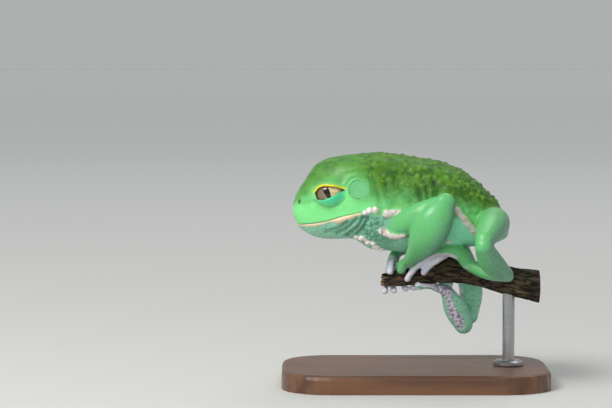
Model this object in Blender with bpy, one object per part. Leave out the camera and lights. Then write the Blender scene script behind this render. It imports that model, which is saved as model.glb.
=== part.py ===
"""A waxy monkey tree frog, life size, on a cut length of branch held by a small display stand.

The frog faces -X with its left side towards -Y. Sizes are written in millimetres and turned
into metres where a mesh is made. Z is up, and the origin is the centre of the base's underside.
Heights in the tables are above a level that lies DATUM below that underside.
The body is one smooth form, parted by thin cuts into head, lower jaw and torso. Each limb piece
is a tapered tube along its bones, trimmed so that it meets its neighbours with a thin gap.
"""

import math
import random

import bmesh
import bpy
import numpy as np
from mathutils import Matrix, Vector

MM = 0.001
GAP = 0.3
DATUM = 4.5

# Stand
BASE_LENGTH = 88.0
BASE_WIDTH = 56.0
BASE_HEIGHT = 6.0
BASE_CORNER = 16.0
BASE_BEVEL = 1.4
ROD_X = 31.0
ROD_RADIUS = 2.0
ROD_SUNK = 3.0
FLANGE_RADIUS = 5.0
FLANGE_HEIGHT = 1.6

# Perch: centre line and radius of the branch, from the broken end to the sawn end
BRANCH_ROUTE = [(-10.2, 0, 38.8), (-5, 0, 39.5), (1.6, 0, 41.0), (8.2, 0, 42.3),
                (14.9, 0, 41.7), (23, 0, 40.2), (31.4, 0, 38.6), (41, 0, 36.6)]
BRANCH_RADII = [2.5, 2.8, 3.5, 4.1, 4.0, 4.3, 4.8, 5.3]

# Body outline at stations along X: top, bottom, half width, height of the widest line
BODY_X = [-39.7, -38.5, -36.0, -33.4, -30.0, -25.0, -20.0, -15.0, -8.0, 0.0,
          8.0, 15.0, 21.0, 26.0, 29.3]
BODY_TOP = [65.6, 68.4, 72.4, 76.3, 78.6, 79.9, 80.5, 80.9, 80.7, 79.5,
            78.1, 75.3, 70.7, 65.6, 61.0]
BODY_LOW = [59.4, 56.9, 54.7, 53.4, 52.7, 52.6, 52.4, 49.4, 48.6, 48.2,
            49.2, 50.0, 50.2, 51.0, 52.4]
BODY_HALF_WIDTH = [4.4, 6.6, 8.8, 10.2, 11.2, 12.3, 13.0, 13.1, 13.3, 14.4,
                   15.2, 14.7, 12.8, 9.6, 6.0]
BODY_WIDEST = [61.5, 61.2, 61.2, 61.4, 61.8, 62.4, 63.0, 63.2, 62.6, 61.6,
               61.0, 60.6, 60.0, 58.8, 57.6]
SNOUT_TIP = (-40.4, 0, 62.4)
RUMP_TIP = (31.0, 0, 56.8)
TOP_POWER = 2.5
LOW_POWER = 2.2
BODY_SIDES = 28

# Long low swelling on each side of the back, from above the eye to past the shoulder
RIDGE_ANGLE = 0.72
RIDGE_SPREAD = 0.2
RIDGE_HEIGHT = 0.9
RIDGE_ENDS = (-31.0, 8.0)

# Cuts that part the body, in the XZ plane
MOUTH_CORNER = (-17.6, 62.1)
MOUTH_CUT = [(-46.0, 57.2), (-38.2, 57.7), (-34.2, 58.1), (-28.8, 59.2), (-24.7, 60.5),
             (-19.8, 61.7), MOUTH_CORNER]
NECK_CUT = [(-24.4, 44.0), (-23.0, 51.5), (-20.4, 56.8), MOUTH_CORNER, (-13.0, 60.2),
            (-11.9, 66.0), (-11.6, 86.0)]

# Head details
EYE_CENTRE = (-28.4, 8.1, 67.9)
EYE_RADIUS = 4.9
LID_THICKNESS = 0.75
LID_UPPER = [(-33.3, 68.3), (-32.0, 70.0), (-30.2, 70.7), (-27.6, 70.6), (-25.2, 70.1)]
LID_LOWER = [(-23.1, 69.3), (-25.6, 68.0), (-28.2, 66.7), (-30.6, 65.9), (-32.5, 66.1)]
NOSTRIL = (-38.2, 65.2)
NOSTRIL_RADIUS = 0.5
EAR_CENTRE = (-19.0, 69.4)
EAR_RADIUS = 2.45
EAR_RIM = 0.35
EAR_THICKNESS = 0.8
LIP_STATIONS = (-38.0, -35.0, -31.2, -28.8, -25.2, -22.2, -19.6)
LIP_RADII = [0.3, 0.5, 0.6, 0.45, 1.0, 0.85, 0.4]
LIP_DROP = 0.9
CORNER_BEADS = [(-16.4, 62.5, 0.85), (-14.9, 63.2, 0.9), (-13.6, 62.6, 0.85)]

# White glandular marks on the torso: (x, z, radius) or (x, z) along a line
CHEST_BEADS = [(-19.2, 53.8, 0.7), (-17.5, 53.6, 0.85), (-15.6, 52.2, 0.8),
               (-14.0, 51.9, 0.75), (-13.4, 50.8, 0.9), (-11.7, 49.8, 0.75)]
SHOULDER_BEAN = [(-11.0, 61.3), (-9.0, 61.3), (-5.4, 61.0)]
FLANK_STRIPE = [(12.6, 62.9), (15.2, 59.6), (19.0, 55.4)]
STRIPE_RADIUS = 0.8

# Warts of the back: seeded, largest along the two lines beside the spine
WART_SEED = 7
WART_COUNT = 26
WART_RADIUS = (0.9, 1.6)
WART_HEIGHT = 0.55
WART_FIRST_X = -9.0
WART_LAST_X = 26.0

# Colours, roughness
GREEN = ((0.10, 0.36, 0.05), 0.42)
MINT = ((0.16, 0.48, 0.18), 0.38)
TEAL = ((0.09, 0.32, 0.20), 0.55)
IRIS = ((0.20, 0.14, 0.09), 0.08)
BARK = ((0.07, 0.045, 0.03), 0.9)
WALNUT = ((0.10, 0.045, 0.02), 0.4)
STEEL = ((0.55, 0.55, 0.56), 0.3)


def clear_scene():
    """Remove every object that the scene starts with."""
    for obj in list(bpy.data.objects):
        bpy.data.objects.remove(obj)


def material(name, look, metallic=0.0):
    """A plain Principled material."""
    colour, roughness = look
    made = bpy.data.materials.new(name)
    made.use_nodes = True
    shader = made.node_tree.nodes["Principled BSDF"]
    shader.inputs["Base Color"].default_value = (*colour, 1.0)
    shader.inputs["Roughness"].default_value = roughness
    shader.inputs["Metallic"].default_value = metallic
    return made


def through(values, count):
    """Points of a smooth curve through the given values, evenly spaced along its chords."""
    values = np.asarray(values, float)
    if values.ndim == 1:
        values = values[:, None]
    steps = np.maximum(np.linalg.norm(np.diff(values[:, :3], axis=0), axis=1), 1e-6)
    knots = np.concatenate([[0.0], np.cumsum(steps)])
    return at_places(knots, values, np.linspace(0.0, knots[-1], count))


def at_places(knots, values, places):
    """Cubic Hermite values at the places, with slopes from each knot's neighbours."""
    values = np.asarray(values, float)
    if values.ndim == 1:
        values = values[:, None]
    knots = np.asarray(knots, float)
    places = np.asarray(places, float)
    slopes = np.gradient(values, knots, axis=0)
    left = np.clip(np.searchsorted(knots, places, side="right") - 1, 0, len(knots) - 2)
    width = knots[left + 1] - knots[left]
    t = ((places - knots[left]) / width)[:, None]
    width = width[:, None]
    return ((2 * t**3 - 3 * t**2 + 1) * values[left]
            + (t**3 - 2 * t**2 + t) * width * slopes[left]
            + (-2 * t**3 + 3 * t**2) * values[left + 1]
            + (t**3 - t**2) * width * slopes[left + 1])


def new_object(name, bm):
    """An object from a bmesh whose faces are turned to point out."""
    bmesh.ops.recalc_face_normals(bm, faces=bm.faces)
    bmesh.ops.translate(bm, verts=bm.verts, vec=(0, 0, -DATUM * MM))
    mesh = bpy.data.meshes.new(name)
    bm.to_mesh(mesh)
    bm.free()
    obj = bpy.data.objects.new(name, mesh)
    bpy.context.scene.collection.objects.link(obj)
    return obj


def lofted(name, rings, start, end):
    """A closed form through rings of points, in mm, drawn in to a point at both ends."""
    bm = bmesh.new()
    loops = [[bm.verts.new(Vector(p) * MM) for p in ring] for ring in rings]
    sides = len(loops[0])
    for here, there in zip(loops, loops[1:]):
        for i in range(sides):
            j = (i + 1) % sides
            bm.faces.new((here[i], here[j], there[j], there[i]))
    for loop, tip in ((loops[0], start), (loops[-1], end)):
        pole = bm.verts.new(Vector(tip) * MM)
        for i in range(sides):
            bm.faces.new((loop[i], loop[(i + 1) % sides], pole))
    return new_object(name, bm)


class Tube:
    """A tapered tube with round ends along a smooth route, in mm.

    radii are the half thickness at each route point. flat scales the thickness across the
    hint direction, so that a value below 1 flattens the tube along the hint. caps are the
    angles of the rings that round each end.
    """

    def __init__(self, route, radii, rings=8, sides=10, flat=1.0, hint=(0, 0, 1),
                 caps=(28, 60)):
        self.route = route
        self.radii = radii
        self.rings = rings
        self.sides = sides
        self.flat = flat
        self.hint = hint
        self.caps = caps

    def made(self, name, grow=0.0):
        """The tube as an object, thicker all round by grow."""
        both = np.column_stack([np.asarray(self.route, float), self.radii])
        line = through(both, self.rings)
        centres, radii = line[:, :3], line[:, 3] + grow
        tangents = np.gradient(centres, axis=0)
        tangents /= np.linalg.norm(tangents, axis=1)[:, None]
        thick = np.array(self.hint, float)
        stations = []
        for centre, tangent, radius in zip(centres, tangents, radii):
            thick = thick - tangent * (thick @ tangent)
            thick /= np.linalg.norm(thick)
            stations.append((centre, tangent, thick.copy(), radius))
        first, last = stations[0], stations[-1]
        rounded = [self.capped(first, -1, math.radians(angle)) for angle in self.caps[::-1]]
        rounded += stations
        rounded += [self.capped(last, 1, math.radians(angle)) for angle in self.caps]
        rings = []
        for centre, tangent, thick, radius in rounded:
            side = np.cross(tangent, thick)
            flat = self.flat + (1 - self.flat) * grow / max(radius, grow + 0.01)
            turns = [2 * math.pi * i / self.sides for i in range(self.sides)]
            rings.append([centre + radius * (math.cos(a) * side + flat * math.sin(a) * thick)
                          for a in turns])
        start = first[0] - first[1] * first[3]
        end = last[0] + last[1] * last[3]
        return lofted(name, rings, start, end)

    @staticmethod
    def capped(station, way, angle):
        """A smaller station past the end, where the round cap has turned by the angle."""
        centre, tangent, thick, radius = station
        return (centre + way * tangent * radius * math.sin(angle), tangent, thick,
                radius * math.cos(angle))


def body_sizes(xs):
    """Top, bottom, half width and widest height of the body at each x."""
    table = np.column_stack([BODY_TOP, BODY_LOW, BODY_HALF_WIDTH, BODY_WIDEST])
    return at_places(BODY_X, table, np.atleast_1d(xs))


def ridge(x, angle):
    """Height of the back's swelling at x and an angle from the spine."""
    first, last = RIDGE_ENDS
    along = (x - first) * (last - x)
    if along <= 0:
        return 0.0
    along /= (last - first) ** 2 / 4
    return RIDGE_HEIGHT * along * math.exp(-((abs(angle) - RIDGE_ANGLE) / RIDGE_SPREAD) ** 2)


def body_point(x, angle, grow=0.0):
    """Point of the body's surface at x, at an angle from the spine towards the left side."""
    top, low, half, widest = body_sizes(x)[0]
    c, s = math.cos(angle), math.sin(angle)
    power = TOP_POWER if c >= 0 else LOW_POWER
    more = grow + ridge(x, angle)
    reach = (top - widest if c >= 0 else widest - low) + more
    y = -(half + more) * math.copysign(abs(s) ** (2 / power), s)
    return Vector((x, y, widest + math.copysign(reach * abs(c) ** (2 / power), c)))


def body_side(x, z):
    """Half width of the body at x and height z."""
    top, low, half, widest = body_sizes(x)[0]
    if z >= widest:
        share, power = (z - widest) / (top - widest), TOP_POWER
    else:
        share, power = (widest - z) / (widest - low), LOW_POWER
    return half * max(1 - min(share, 1.0) ** power, 0.0) ** (1 / power)


def body_normal(x, angle):
    """Outward direction of the body's surface there."""
    along = body_point(x + 0.2, angle) - body_point(x - 0.2, angle)
    round_it = body_point(x, angle + 0.05) - body_point(x, angle - 0.05)
    normal = along.cross(round_it).normalized()
    centre = Vector((x, 0, body_sizes(x)[0][3]))
    return normal if normal.dot(body_point(x, angle) - centre) > 0 else -normal


def make_body(name, grow=0.0):
    """The whole body from snout to rump as one closed form."""
    xs = np.concatenate([np.linspace(-39.7, -36.0, 4), np.linspace(-34.0, 26.0, 23),
                         [27.8, 29.3]])
    turns = np.linspace(-math.pi, math.pi, BODY_SIDES, endpoint=False)
    rings = [[body_point(x, angle, grow) for angle in turns] for x in xs]
    start = (SNOUT_TIP[0] - grow, 0, SNOUT_TIP[2])
    end = (RUMP_TIP[0] + grow, 0, RUMP_TIP[2])
    return lofted(name, rings, start, end)


def apply_modifiers(obj):
    """Replace the object's mesh by the shape that its modifiers give."""
    bpy.context.view_layer.update()
    graph = bpy.context.evaluated_depsgraph_get()
    mesh = bpy.data.meshes.new_from_object(obj.evaluated_get(graph))
    obj.modifiers.clear()
    obj.data = mesh


def combine(obj, others, operation):
    """Join the others to obj, or cut them from it, and remove them."""
    if not others:
        return obj
    group = bpy.data.collections.new("operands")
    for other in others:
        group.objects.link(other)
    step = obj.modifiers.new("combine", "BOOLEAN")
    step.operation = operation
    step.solver = "EXACT"
    step.operand_type = "COLLECTION"
    step.collection = group
    apply_modifiers(obj)
    for other in list(others):
        bpy.data.objects.remove(other)
    bpy.data.collections.remove(group)
    return obj


def cut_each(obj, cutters):
    """Cut the cutters from obj one by one."""
    for cutter in cutters:
        combine(obj, [cutter], "DIFFERENCE")
    return obj


def islands(obj):
    """The object's closed surfaces as (volume, face indices), largest first."""
    bm = bmesh.new()
    bm.from_mesh(obj.data)
    bm.faces.ensure_lookup_table()
    left = set(range(len(bm.faces)))
    found = []
    while left:
        seen = {left.pop()}
        front = list(seen)
        while front:
            face = bm.faces[front.pop()]
            for edge in face.edges:
                for other in edge.link_faces:
                    if other.index in left:
                        left.discard(other.index)
                        seen.add(other.index)
                        front.append(other.index)
        volume = 0.0
        for i in seen:
            points = [loop.vert.co for loop in bm.faces[i].loops]
            for a, b in zip(points[1:], points[2:]):
                volume += points[0].dot(a.cross(b)) / 6
        found.append((volume, seen))
    bm.free()
    return sorted(found, key=lambda item: -item[0])


def keep_faces(obj, keep):
    """Keep only these faces of the object."""
    bm = bmesh.new()
    bm.from_mesh(obj.data)
    bm.faces.ensure_lookup_table()
    lost = [face for face in bm.faces if face.index not in keep]
    bmesh.ops.delete(bm, geom=lost, context="FACES")
    bm.to_mesh(obj.data)
    bm.free()


def keep_largest(obj):
    """Keep the largest closed surface, which drops loose scraps and fills sealed hollows."""
    keep_faces(obj, islands(obj)[0][1])
    return obj


def slab(name, line, thickness=GAP, reach=30.0):
    """A thin wall that follows a line in the XZ plane, right across the frog."""
    points = [Vector((x, z)) for x, z in line]
    first = (points[0] - points[1]).normalized() * thickness
    last = (points[-1] - points[-2]).normalized() * thickness
    points[0] += first
    points[-1] += last
    upper, lower = [], []
    for i, point in enumerate(points):
        before = points[max(i - 1, 0)]
        after = points[min(i + 1, len(points) - 1)]
        way = (after - before).normalized()
        across = Vector((-way.y, way.x)) * thickness / 2
        upper.append(point + across)
        lower.append(point - across)
    outline = upper + lower[::-1]
    bm = bmesh.new()
    near = [bm.verts.new(Vector((p.x, -reach, p.y)) * MM) for p in outline]
    far = [bm.verts.new(Vector((p.x, reach, p.y)) * MM) for p in outline]
    count = len(outline)
    half = len(upper)
    for i in range(count):
        j = (i + 1) % count
        bm.faces.new((near[i], near[j], far[j], far[i]))
    for side in (near, far):
        for i in range(half - 1):
            bm.faces.new((side[i], side[i + 1], side[count - 2 - i], side[count - 1 - i]))
    return new_object(name, bm)


def ball(name, centre, radii, sides=12, rings=8, turn=None):
    """An ellipsoid at the centre, in mm, turned by a rotation matrix."""
    bm = bmesh.new()
    bmesh.ops.create_uvsphere(bm, u_segments=sides, v_segments=rings, radius=1.0)
    size = Matrix.Diagonal((*[r * MM for r in radii], 1.0))
    turn = turn or Matrix.Identity(4)
    place = Matrix.Translation(Vector(centre) * MM)
    bmesh.ops.transform(bm, matrix=place @ turn @ size, verts=bm.verts)
    return new_object(name, bm)


def facing(direction):
    """The rotation that turns +Z to the direction."""
    return Vector(direction).to_track_quat("Z", "Y").to_matrix().to_4x4()


def disc(name, centre, direction, radius, half_height, sides=18):
    """A short cylinder whose axis is the direction."""
    bm = bmesh.new()
    bmesh.ops.create_cone(bm, cap_ends=True, segments=sides, radius1=radius * MM,
                          radius2=radius * MM, depth=2 * half_height * MM)
    place = Matrix.Translation(Vector(centre) * MM) @ facing(direction)
    bmesh.ops.transform(bm, matrix=place, verts=bm.verts)
    return new_object(name, bm)


def ring_rim(name, centre, direction, radius, thickness, sides=18, round_sides=5):
    """A torus round the ear."""
    bm = bmesh.new()
    turn = facing(direction)
    loops = []
    for i in range(sides):
        a = 2 * math.pi * i / sides
        loop = []
        for j in range(round_sides):
            b = 2 * math.pi * j / round_sides
            out = radius + thickness * math.cos(b)
            point = Vector((out * math.cos(a), out * math.sin(a), thickness * math.sin(b)))
            loop.append(bm.verts.new((Vector(centre) + turn @ point) * MM))
        loops.append(loop)
    for i in range(sides):
        here, there = loops[i], loops[(i + 1) % sides]
        for j in range(round_sides):
            k = (j + 1) % round_sides
            bm.faces.new((here[j], here[k], there[k], there[j]))
    return new_object(name, bm)


def eye_slit(side):
    """The wedge that opens the lids along their edges, spreading a little outwards."""
    outline = LID_UPPER + LID_LOWER
    bm = bmesh.new()
    loops = []
    for depth, spread in ((0.3, 0.94), (2.4, 1.12)):
        loop = []
        for x, z in outline:
            x = EYE_CENTRE[0] + (x - EYE_CENTRE[0]) * spread
            z = EYE_CENTRE[2] + (z - EYE_CENTRE[2]) * spread
            y = side * (EYE_CENTRE[1] + EYE_RADIUS * depth)
            loop.append(bm.verts.new(Vector((x, y, z)) * MM))
        loops.append(loop)
    count = len(outline)
    for i in range(count):
        j = (i + 1) % count
        bm.faces.new((loops[0][i], loops[0][j], loops[1][j], loops[1][i]))
    bm.faces.new(loops[0])
    bm.faces.new(loops[1])
    return new_object("slit", bm)


def on_body(x, z, side, lift=0.0):
    """A point on the body's flank at x and z. side is -1 on the left and 1 on the right."""
    return Vector((x, side * (body_side(x, z) + lift), z))


def outward(x, z, side):
    """Outward direction of the flank at x and z."""
    along = on_body(x + 0.3, z, side) - on_body(x - 0.3, z, side)
    up = on_body(x, z + 0.3, side) - on_body(x, z - 0.3, side)
    normal = along.cross(up).normalized()
    return normal if normal.y * side > 0 else -normal


def head_growths():
    """Lid bulges, ear rims and the beads at the corner of the mouth."""
    made = []
    for side in (-1, 1):
        eye = Vector((EYE_CENTRE[0], side * EYE_CENTRE[1], EYE_CENTRE[2]))
        lid = EYE_RADIUS + GAP + LID_THICKNESS
        made.append(ball("lid", eye, (lid + 0.3, lid, lid), 18, 12))
        ear = on_body(*EAR_CENTRE, side)
        out = outward(*EAR_CENTRE, side)
        made.append(ring_rim("rim", ear, out, EAR_RADIUS + GAP + EAR_RIM, EAR_RIM))
        for x, z, radius in CORNER_BEADS:
            middle = on_body(x, z, side) + 0.1 * outward(x, z, side)
            made.append(ball("bead", middle, [radius] * 3, 7, 5))
    return made


def lip_rolls():
    """A rolled lower lip along the mouth cut, on both sides."""
    made = []
    for side in (-1, 1):
        route = []
        for x in LIP_STATIONS:
            z = float(np.interp(x, *zip(*MOUTH_CUT)))
            route.append(tuple(on_body(x, z - LIP_DROP, side, -0.1)))
        made.append(Tube(route, LIP_RADII, rings=12, sides=8).made("lip"))
    return made


def torso_growths():
    """Warts, chest beads, the shoulder mark and the pale stripe of the flank."""
    made = warts()
    for side in (-1, 1):
        for x, z, radius in CHEST_BEADS:
            middle = on_body(x, z, side) + 0.3 * outward(x, z, side)
            made.append(ball("bead", middle, [radius] * 3, 7, 5))
        bean = [tuple(on_body(x, z, side, -0.3)) for x, z in SHOULDER_BEAN]
        made.append(Tube(bean, [0.95, 1.0, 0.6], rings=6, sides=8).made("bean"))
        arm = UPPER_ARM_LEFT if side < 0 else UPPER_ARM_RIGHT
        cut_each(made[-1], [tube.made("cut", GAP) for tube in arm])
        stripe = [tuple(on_body(x, z, side, -0.35)) for x, z in FLANK_STRIPE]
        made.append(Tube(stripe, [0.4, STRIPE_RADIUS, 0.45], rings=7, sides=8).made("stripe"))
    return made


def part_body():
    """Build the body with all its growths, then cut it into head, lower jaw and torso."""
    whole = make_body("whole")
    combine(whole, head_growths() + lip_rolls() + torso_growths(), "UNION")
    cut_each(whole, [slab("cut", line) for line in (NECK_CUT, MOUTH_CUT)])
    made = {}
    for name, (_, faces) in zip(("torso", "head", "lower_jaw"), islands(whole)):
        piece = bpy.data.objects.new(name, whole.data.copy())
        bpy.context.scene.collection.objects.link(piece)
        keep_faces(piece, faces)
        made[name] = piece
    bpy.data.objects.remove(whole)
    return made["head"], made["lower_jaw"], made["torso"]


def finish_head(head):
    """Eye sockets and openings, ear seats and nostrils."""
    cut = []
    for side in (-1, 1):
        eye = Vector((EYE_CENTRE[0], side * EYE_CENTRE[1], EYE_CENTRE[2]))
        ear = on_body(*EAR_CENTRE, side)
        out = outward(*EAR_CENTRE, side)
        cut.append(ball("socket", eye, [EYE_RADIUS + GAP] * 3, 16, 10))
        cut.append(eye_slit(side))
        cut.append(disc("ear_seat", ear, out, EAR_RADIUS + GAP, EAR_THICKNESS / 2 + GAP))
        cut.append(ball("nostril", on_body(*NOSTRIL, side), [NOSTRIL_RADIUS] * 3, 7, 5))
    cut_each(head, cut)
    keep_largest(head)


def make_eyes():
    """The two eyeballs."""
    for side, name in ((-1, "eye_left"), (1, "eye_right")):
        eye = (EYE_CENTRE[0], side * EYE_CENTRE[1], EYE_CENTRE[2])
        obj = ball(name, eye, [EYE_RADIUS] * 3, 18, 12, facing((-0.15, side, 0.1)))
        finish(obj, "eye")


def make_ears():
    """The two ear drums, thin discs seated in their rims."""
    for side, name in ((-1, "ear_left"), (1, "ear_right")):
        out = outward(*EAR_CENTRE, side)
        middle = on_body(*EAR_CENTRE, side)
        finish(disc(name, middle, out, EAR_RADIUS, EAR_THICKNESS / 2), "mint")


def warts():
    """Low domes over the back, seeded, set along the surface and turned to its normal."""
    draw = random.Random(WART_SEED)
    made, places = [], []
    tries = 0
    while len(made) < WART_COUNT and tries < 4000:
        tries += 1
        x = draw.uniform(WART_FIRST_X, WART_LAST_X)
        angle = draw.choice((-1, 1)) * draw.gauss(0.62, 0.34)
        radius = draw.uniform(*WART_RADIUS)
        centre = body_point(x, angle)
        if abs(angle) > 1.25 or any((centre - p).length < radius + r + 0.5 for p, r in places):
            continue
        places.append((centre, radius))
        out = body_normal(x, angle)
        made.append(ball("wart", centre, (radius, radius, WART_HEIGHT * radius), 7, 5,
                         facing(out)))
    return made


def perch_form(name, grow=0.0):
    """The branch as a round tapered form with a knobbly bark."""
    table = np.column_stack([BRANCH_ROUTE, BRANCH_RADII])
    line = through(table, 22)
    rings = []
    for i, (x, y, z, radius) in enumerate(line):
        ring = []
        for j in range(14):
            a = 2 * math.pi * j / 14
            bump = 0.16 * math.sin(3 * a + 0.9 * i) + 0.12 * math.sin(5 * a - 1.7 * i)
            r = radius + bump - 0.15 + grow
            ring.append((x, y + r * math.cos(a), z + r * math.sin(a)))
        rings.append(ring)
    start = (line[0][0] - 0.6 - grow, 0, line[0][2] - 0.4)
    end = (line[-1][0] + grow + 0.01, 0, line[-1][2])
    return lofted(name, rings, start, end)


def branch_at(x):
    """Height of the branch's centre line and its radius at x."""
    table = np.column_stack([[p[2] for p in BRANCH_ROUTE], BRANCH_RADII])
    return at_places([p[0] for p in BRANCH_ROUTE], table, [x])[0]


def around(x, turn, lift=1.2):
    """A point above the bark at x. turn is in degrees from the top towards the far side."""
    height, radius = branch_at(x)
    angle = math.radians(turn)
    out = radius + lift
    return (x, out * math.sin(angle), height + out * math.cos(angle))


def digit(route, thick=1.05, root=1.25, tip=1.25):
    """A finger or toe along the route, with a round pad at its tip."""
    middle = [thick] * (len(route) - 2)
    return Tube(route, [root, *middle, tip], 6, 7, caps=(45,))


# Limb tubes of each side
UPPER_ARM_LEFT = [
    Tube([(-9.4, -8.5, 55.4), (-5.4, -12.6, 57.6), (0.6, -16.2, 61.6), (8.2, -18.2, 65.2)],
         [3.0, 3.8, 3.8, 3.0], 9, 12),
    Tube([(-10.6, -11.1, 55.7), (-7.2, -13.6, 54.7), (-4.0, -15.4, 54.9)],
         [0.8, 0.9, 0.7], 6, 8)]
UPPER_ARM_RIGHT = [
    Tube([(-9.4, 8.5, 55.4), (-5.8, 12.6, 57.4), (-0.2, 16.2, 60.8), (7.0, 18.0, 63.6)],
         [3.0, 3.8, 3.8, 3.0], 9, 12),
    Tube([(-10.6, 11.1, 55.7), (-7.4, 13.4, 54.6), (-4.4, 15.2, 54.6)],
         [0.8, 0.9, 0.7], 6, 8)]
FOREARM_LEFT = [
    Tube([(8.8, -18.8, 65.4), (6.8, -19.4, 61.8), (4.6, -18.8, 57.2), (2.9, -16.4, 52.6),
          (0.8, -12.6, 48.9), (-1.2, -9.0, 46.5)],
         [3.4, 5.1, 6.1, 5.6, 3.8, 2.4], 10, 14, 0.72, (0, -1, 0))]
FOREARM_RIGHT = [
    Tube([(7.4, 18.6, 63.6), (4.8, 19.2, 60.4), (1.8, 18.4, 56.6), (-1.2, 15.6, 52.6),
          (-3.8, 11.8, 49.4), (-5.4, 9.0, 47.8)],
         [3.4, 5.0, 5.8, 5.2, 3.5, 2.3], 10, 14, 0.72, (0, 1, 0))]
HAND_LEFT = [
    Tube([(-1.9, -7.9, 45.7), (-3.1, -5.6, 45.0), (-4.0, -3.2, 44.3), (-4.3, -1.2, 43.9)],
         [2.1, 2.3, 2.2, 1.6], 6, 10, 0.66, (0, 0.5, 1)),
    digit([(-3.6, -5.0, 44.7), around(-4.9, -62, 1.6), around(-5.3, -86, 1.4)], 1.4, 1.4, 1.4),
    digit([(-4.9, -1.7, 43.9), around(-5.3, 25), around(-5.3, 52), around(-5.2, 78)]),
    digit([(-4.0, -1.8, 44.0), around(-3.1, 25), around(-2.8, 62), around(-2.7, 100)]),
    digit([(-3.2, -2.6, 44.4), around(-1.2, 18), around(-0.4, 56), around(0.0, 94)])]
HAND_RIGHT = [
    Tube([(-5.9, 8.0, 47.1), (-6.8, 6.3, 45.2), (-7.5, 4.6, 43.5), (-8.0, 3.3, 42.2)],
         [2.1, 2.3, 2.2, 1.6], 6, 10, 0.66, (0, 1, 0.7)),
    digit([(-6.9, 4.8, 44.8), (-7.2, 1.8, 46.0), (-7.8, -1.2, 44.9), (-8.3, -2.9, 42.0)]),
    digit([(-8.4, 3.4, 42.0), around(-9.5, 102), around(-9.5, 140), around(-9.3, 176)]),
    digit([(-7.8, 3.8, 42.2), around(-7.3, 106), around(-7.0, 144), around(-6.8, 180)]),
    digit([(-7.0, 4.2, 42.6), around(-5.4, 106), around(-4.6, 136), around(-4.2, 168)])]
THIGH_LEFT = [Tube([(25.0, -3.0, 58.0), (25.0, -11.0, 58.4), (23.4, -20.6, 57.4),
                    (20.6, -30.4, 54.6)], [5.2, 5.3, 4.7, 3.1], 9, 14)]
THIGH_RIGHT = [Tube([(25.0, 3.0, 58.0), (24.6, 10.4, 57.8), (21.4, 18.2, 55.0),
                     (17.0, 24.6, 50.6)], [5.2, 5.3, 4.6, 3.1], 9, 14)]
SHANK_LEFT = [Tube([(20.2, -31.8, 52.4), (22.4, -26.2, 48.0), (25.8, -19.6, 44.2),
                    (29.0, -13.8, 41.8)], [2.9, 3.8, 3.5, 2.4], 9, 12)]
SHANK_RIGHT = [Tube([(16.3, 25.4, 48.2), (18.2, 21.0, 41.8), (19.6, 14.6, 33.6),
                     (18.8, 9.3, 26.0)], [2.9, 3.8, 3.9, 2.9], 9, 12)]
TARSUS_LEFT = [Tube([(29.2, -12.9, 41.4), (25.0, -12.2, 41.9), (20.8, -11.0, 42.9),
                     (16.9, -9.3, 44.7)], [2.4, 2.6, 2.4, 2.1], 7, 10, 0.85, (0, 0, 1))]
TARSUS_RIGHT = [Tube([(16.6, 6.0, 23.2), (14.8, 4.8, 26.9), (12.8, 3.4, 30.8),
                      (11.3, 2.4, 33.7)], [3.1, 3.9, 3.6, 2.5], 7, 12, 0.66, (0, 1, 0))]
FOOT_LEFT = [
    Tube([(16.0, -8.6, 45.6), (13.8, -6.6, 47.9), (10.6, -4.9, 49.3), (7.4, -4.2, 48.8)],
         [2.1, 2.2, 1.9, 1.5], 7, 10, 0.85, (0, -0.5, 1)),
    Tube([(8.6, -4.3, 49.0), (5.4, -4.3, 47.6), (2.6, -4.3, 45.6), (0.2, -4.5, 43.3),
          (-1.4, -4.5, 41.2), (-2.8, -4.1, 39.6)], [1.6, 1.45, 1.3, 1.15, 1.1, 1.25], 8, 7),
    digit([(9.6, -4.8, 48.0), (6.8, -5.1, 46.4), (4.0, -5.3, 44.6), (1.8, -5.0, 42.9)], 1.1, 1.5),
    digit([(8.8, -2.8, 48.0), around(7.7, 10), around(7.3, 48), around(7.1, 86)]),
    digit([(11.2, -3.2, 48.0), around(11.0, 12), around(10.8, 52), around(10.8, 90)]),
    digit([(13.4, -4.4, 47.6), around(13.9, 4), around(14.3, 42), around(14.6, 80)])]
FOOT_RIGHT = [
    Tube([(11.8, 2.5, 34.2), (9.6, 1.5, 35.4), (7.0, 0.7, 36.1)], [2.3, 2.3, 1.8], 6, 10,
         0.7, (0, 0, 1)),
    digit([(8.0, 0.2, 36.2), around(5.2, -166), around(2.8, -150), around(0.8, -136)]),
    digit([(7.4, 0.8, 36.1), around(4.6, 176), around(2.0, 170), around(-0.6, 166)]),
    digit([(7.8, 1.5, 36.0), around(5.6, 150), around(3.6, 132), around(2.2, 118)]),
    digit([(9.4, 2.6, 35.7), around(9.0, 138), around(8.7, 124), around(8.6, 114)]),
    digit([(11.2, 3.4, 35.2), around(12.2, 138), around(12.7, 120), around(12.9, 108)])]

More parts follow.
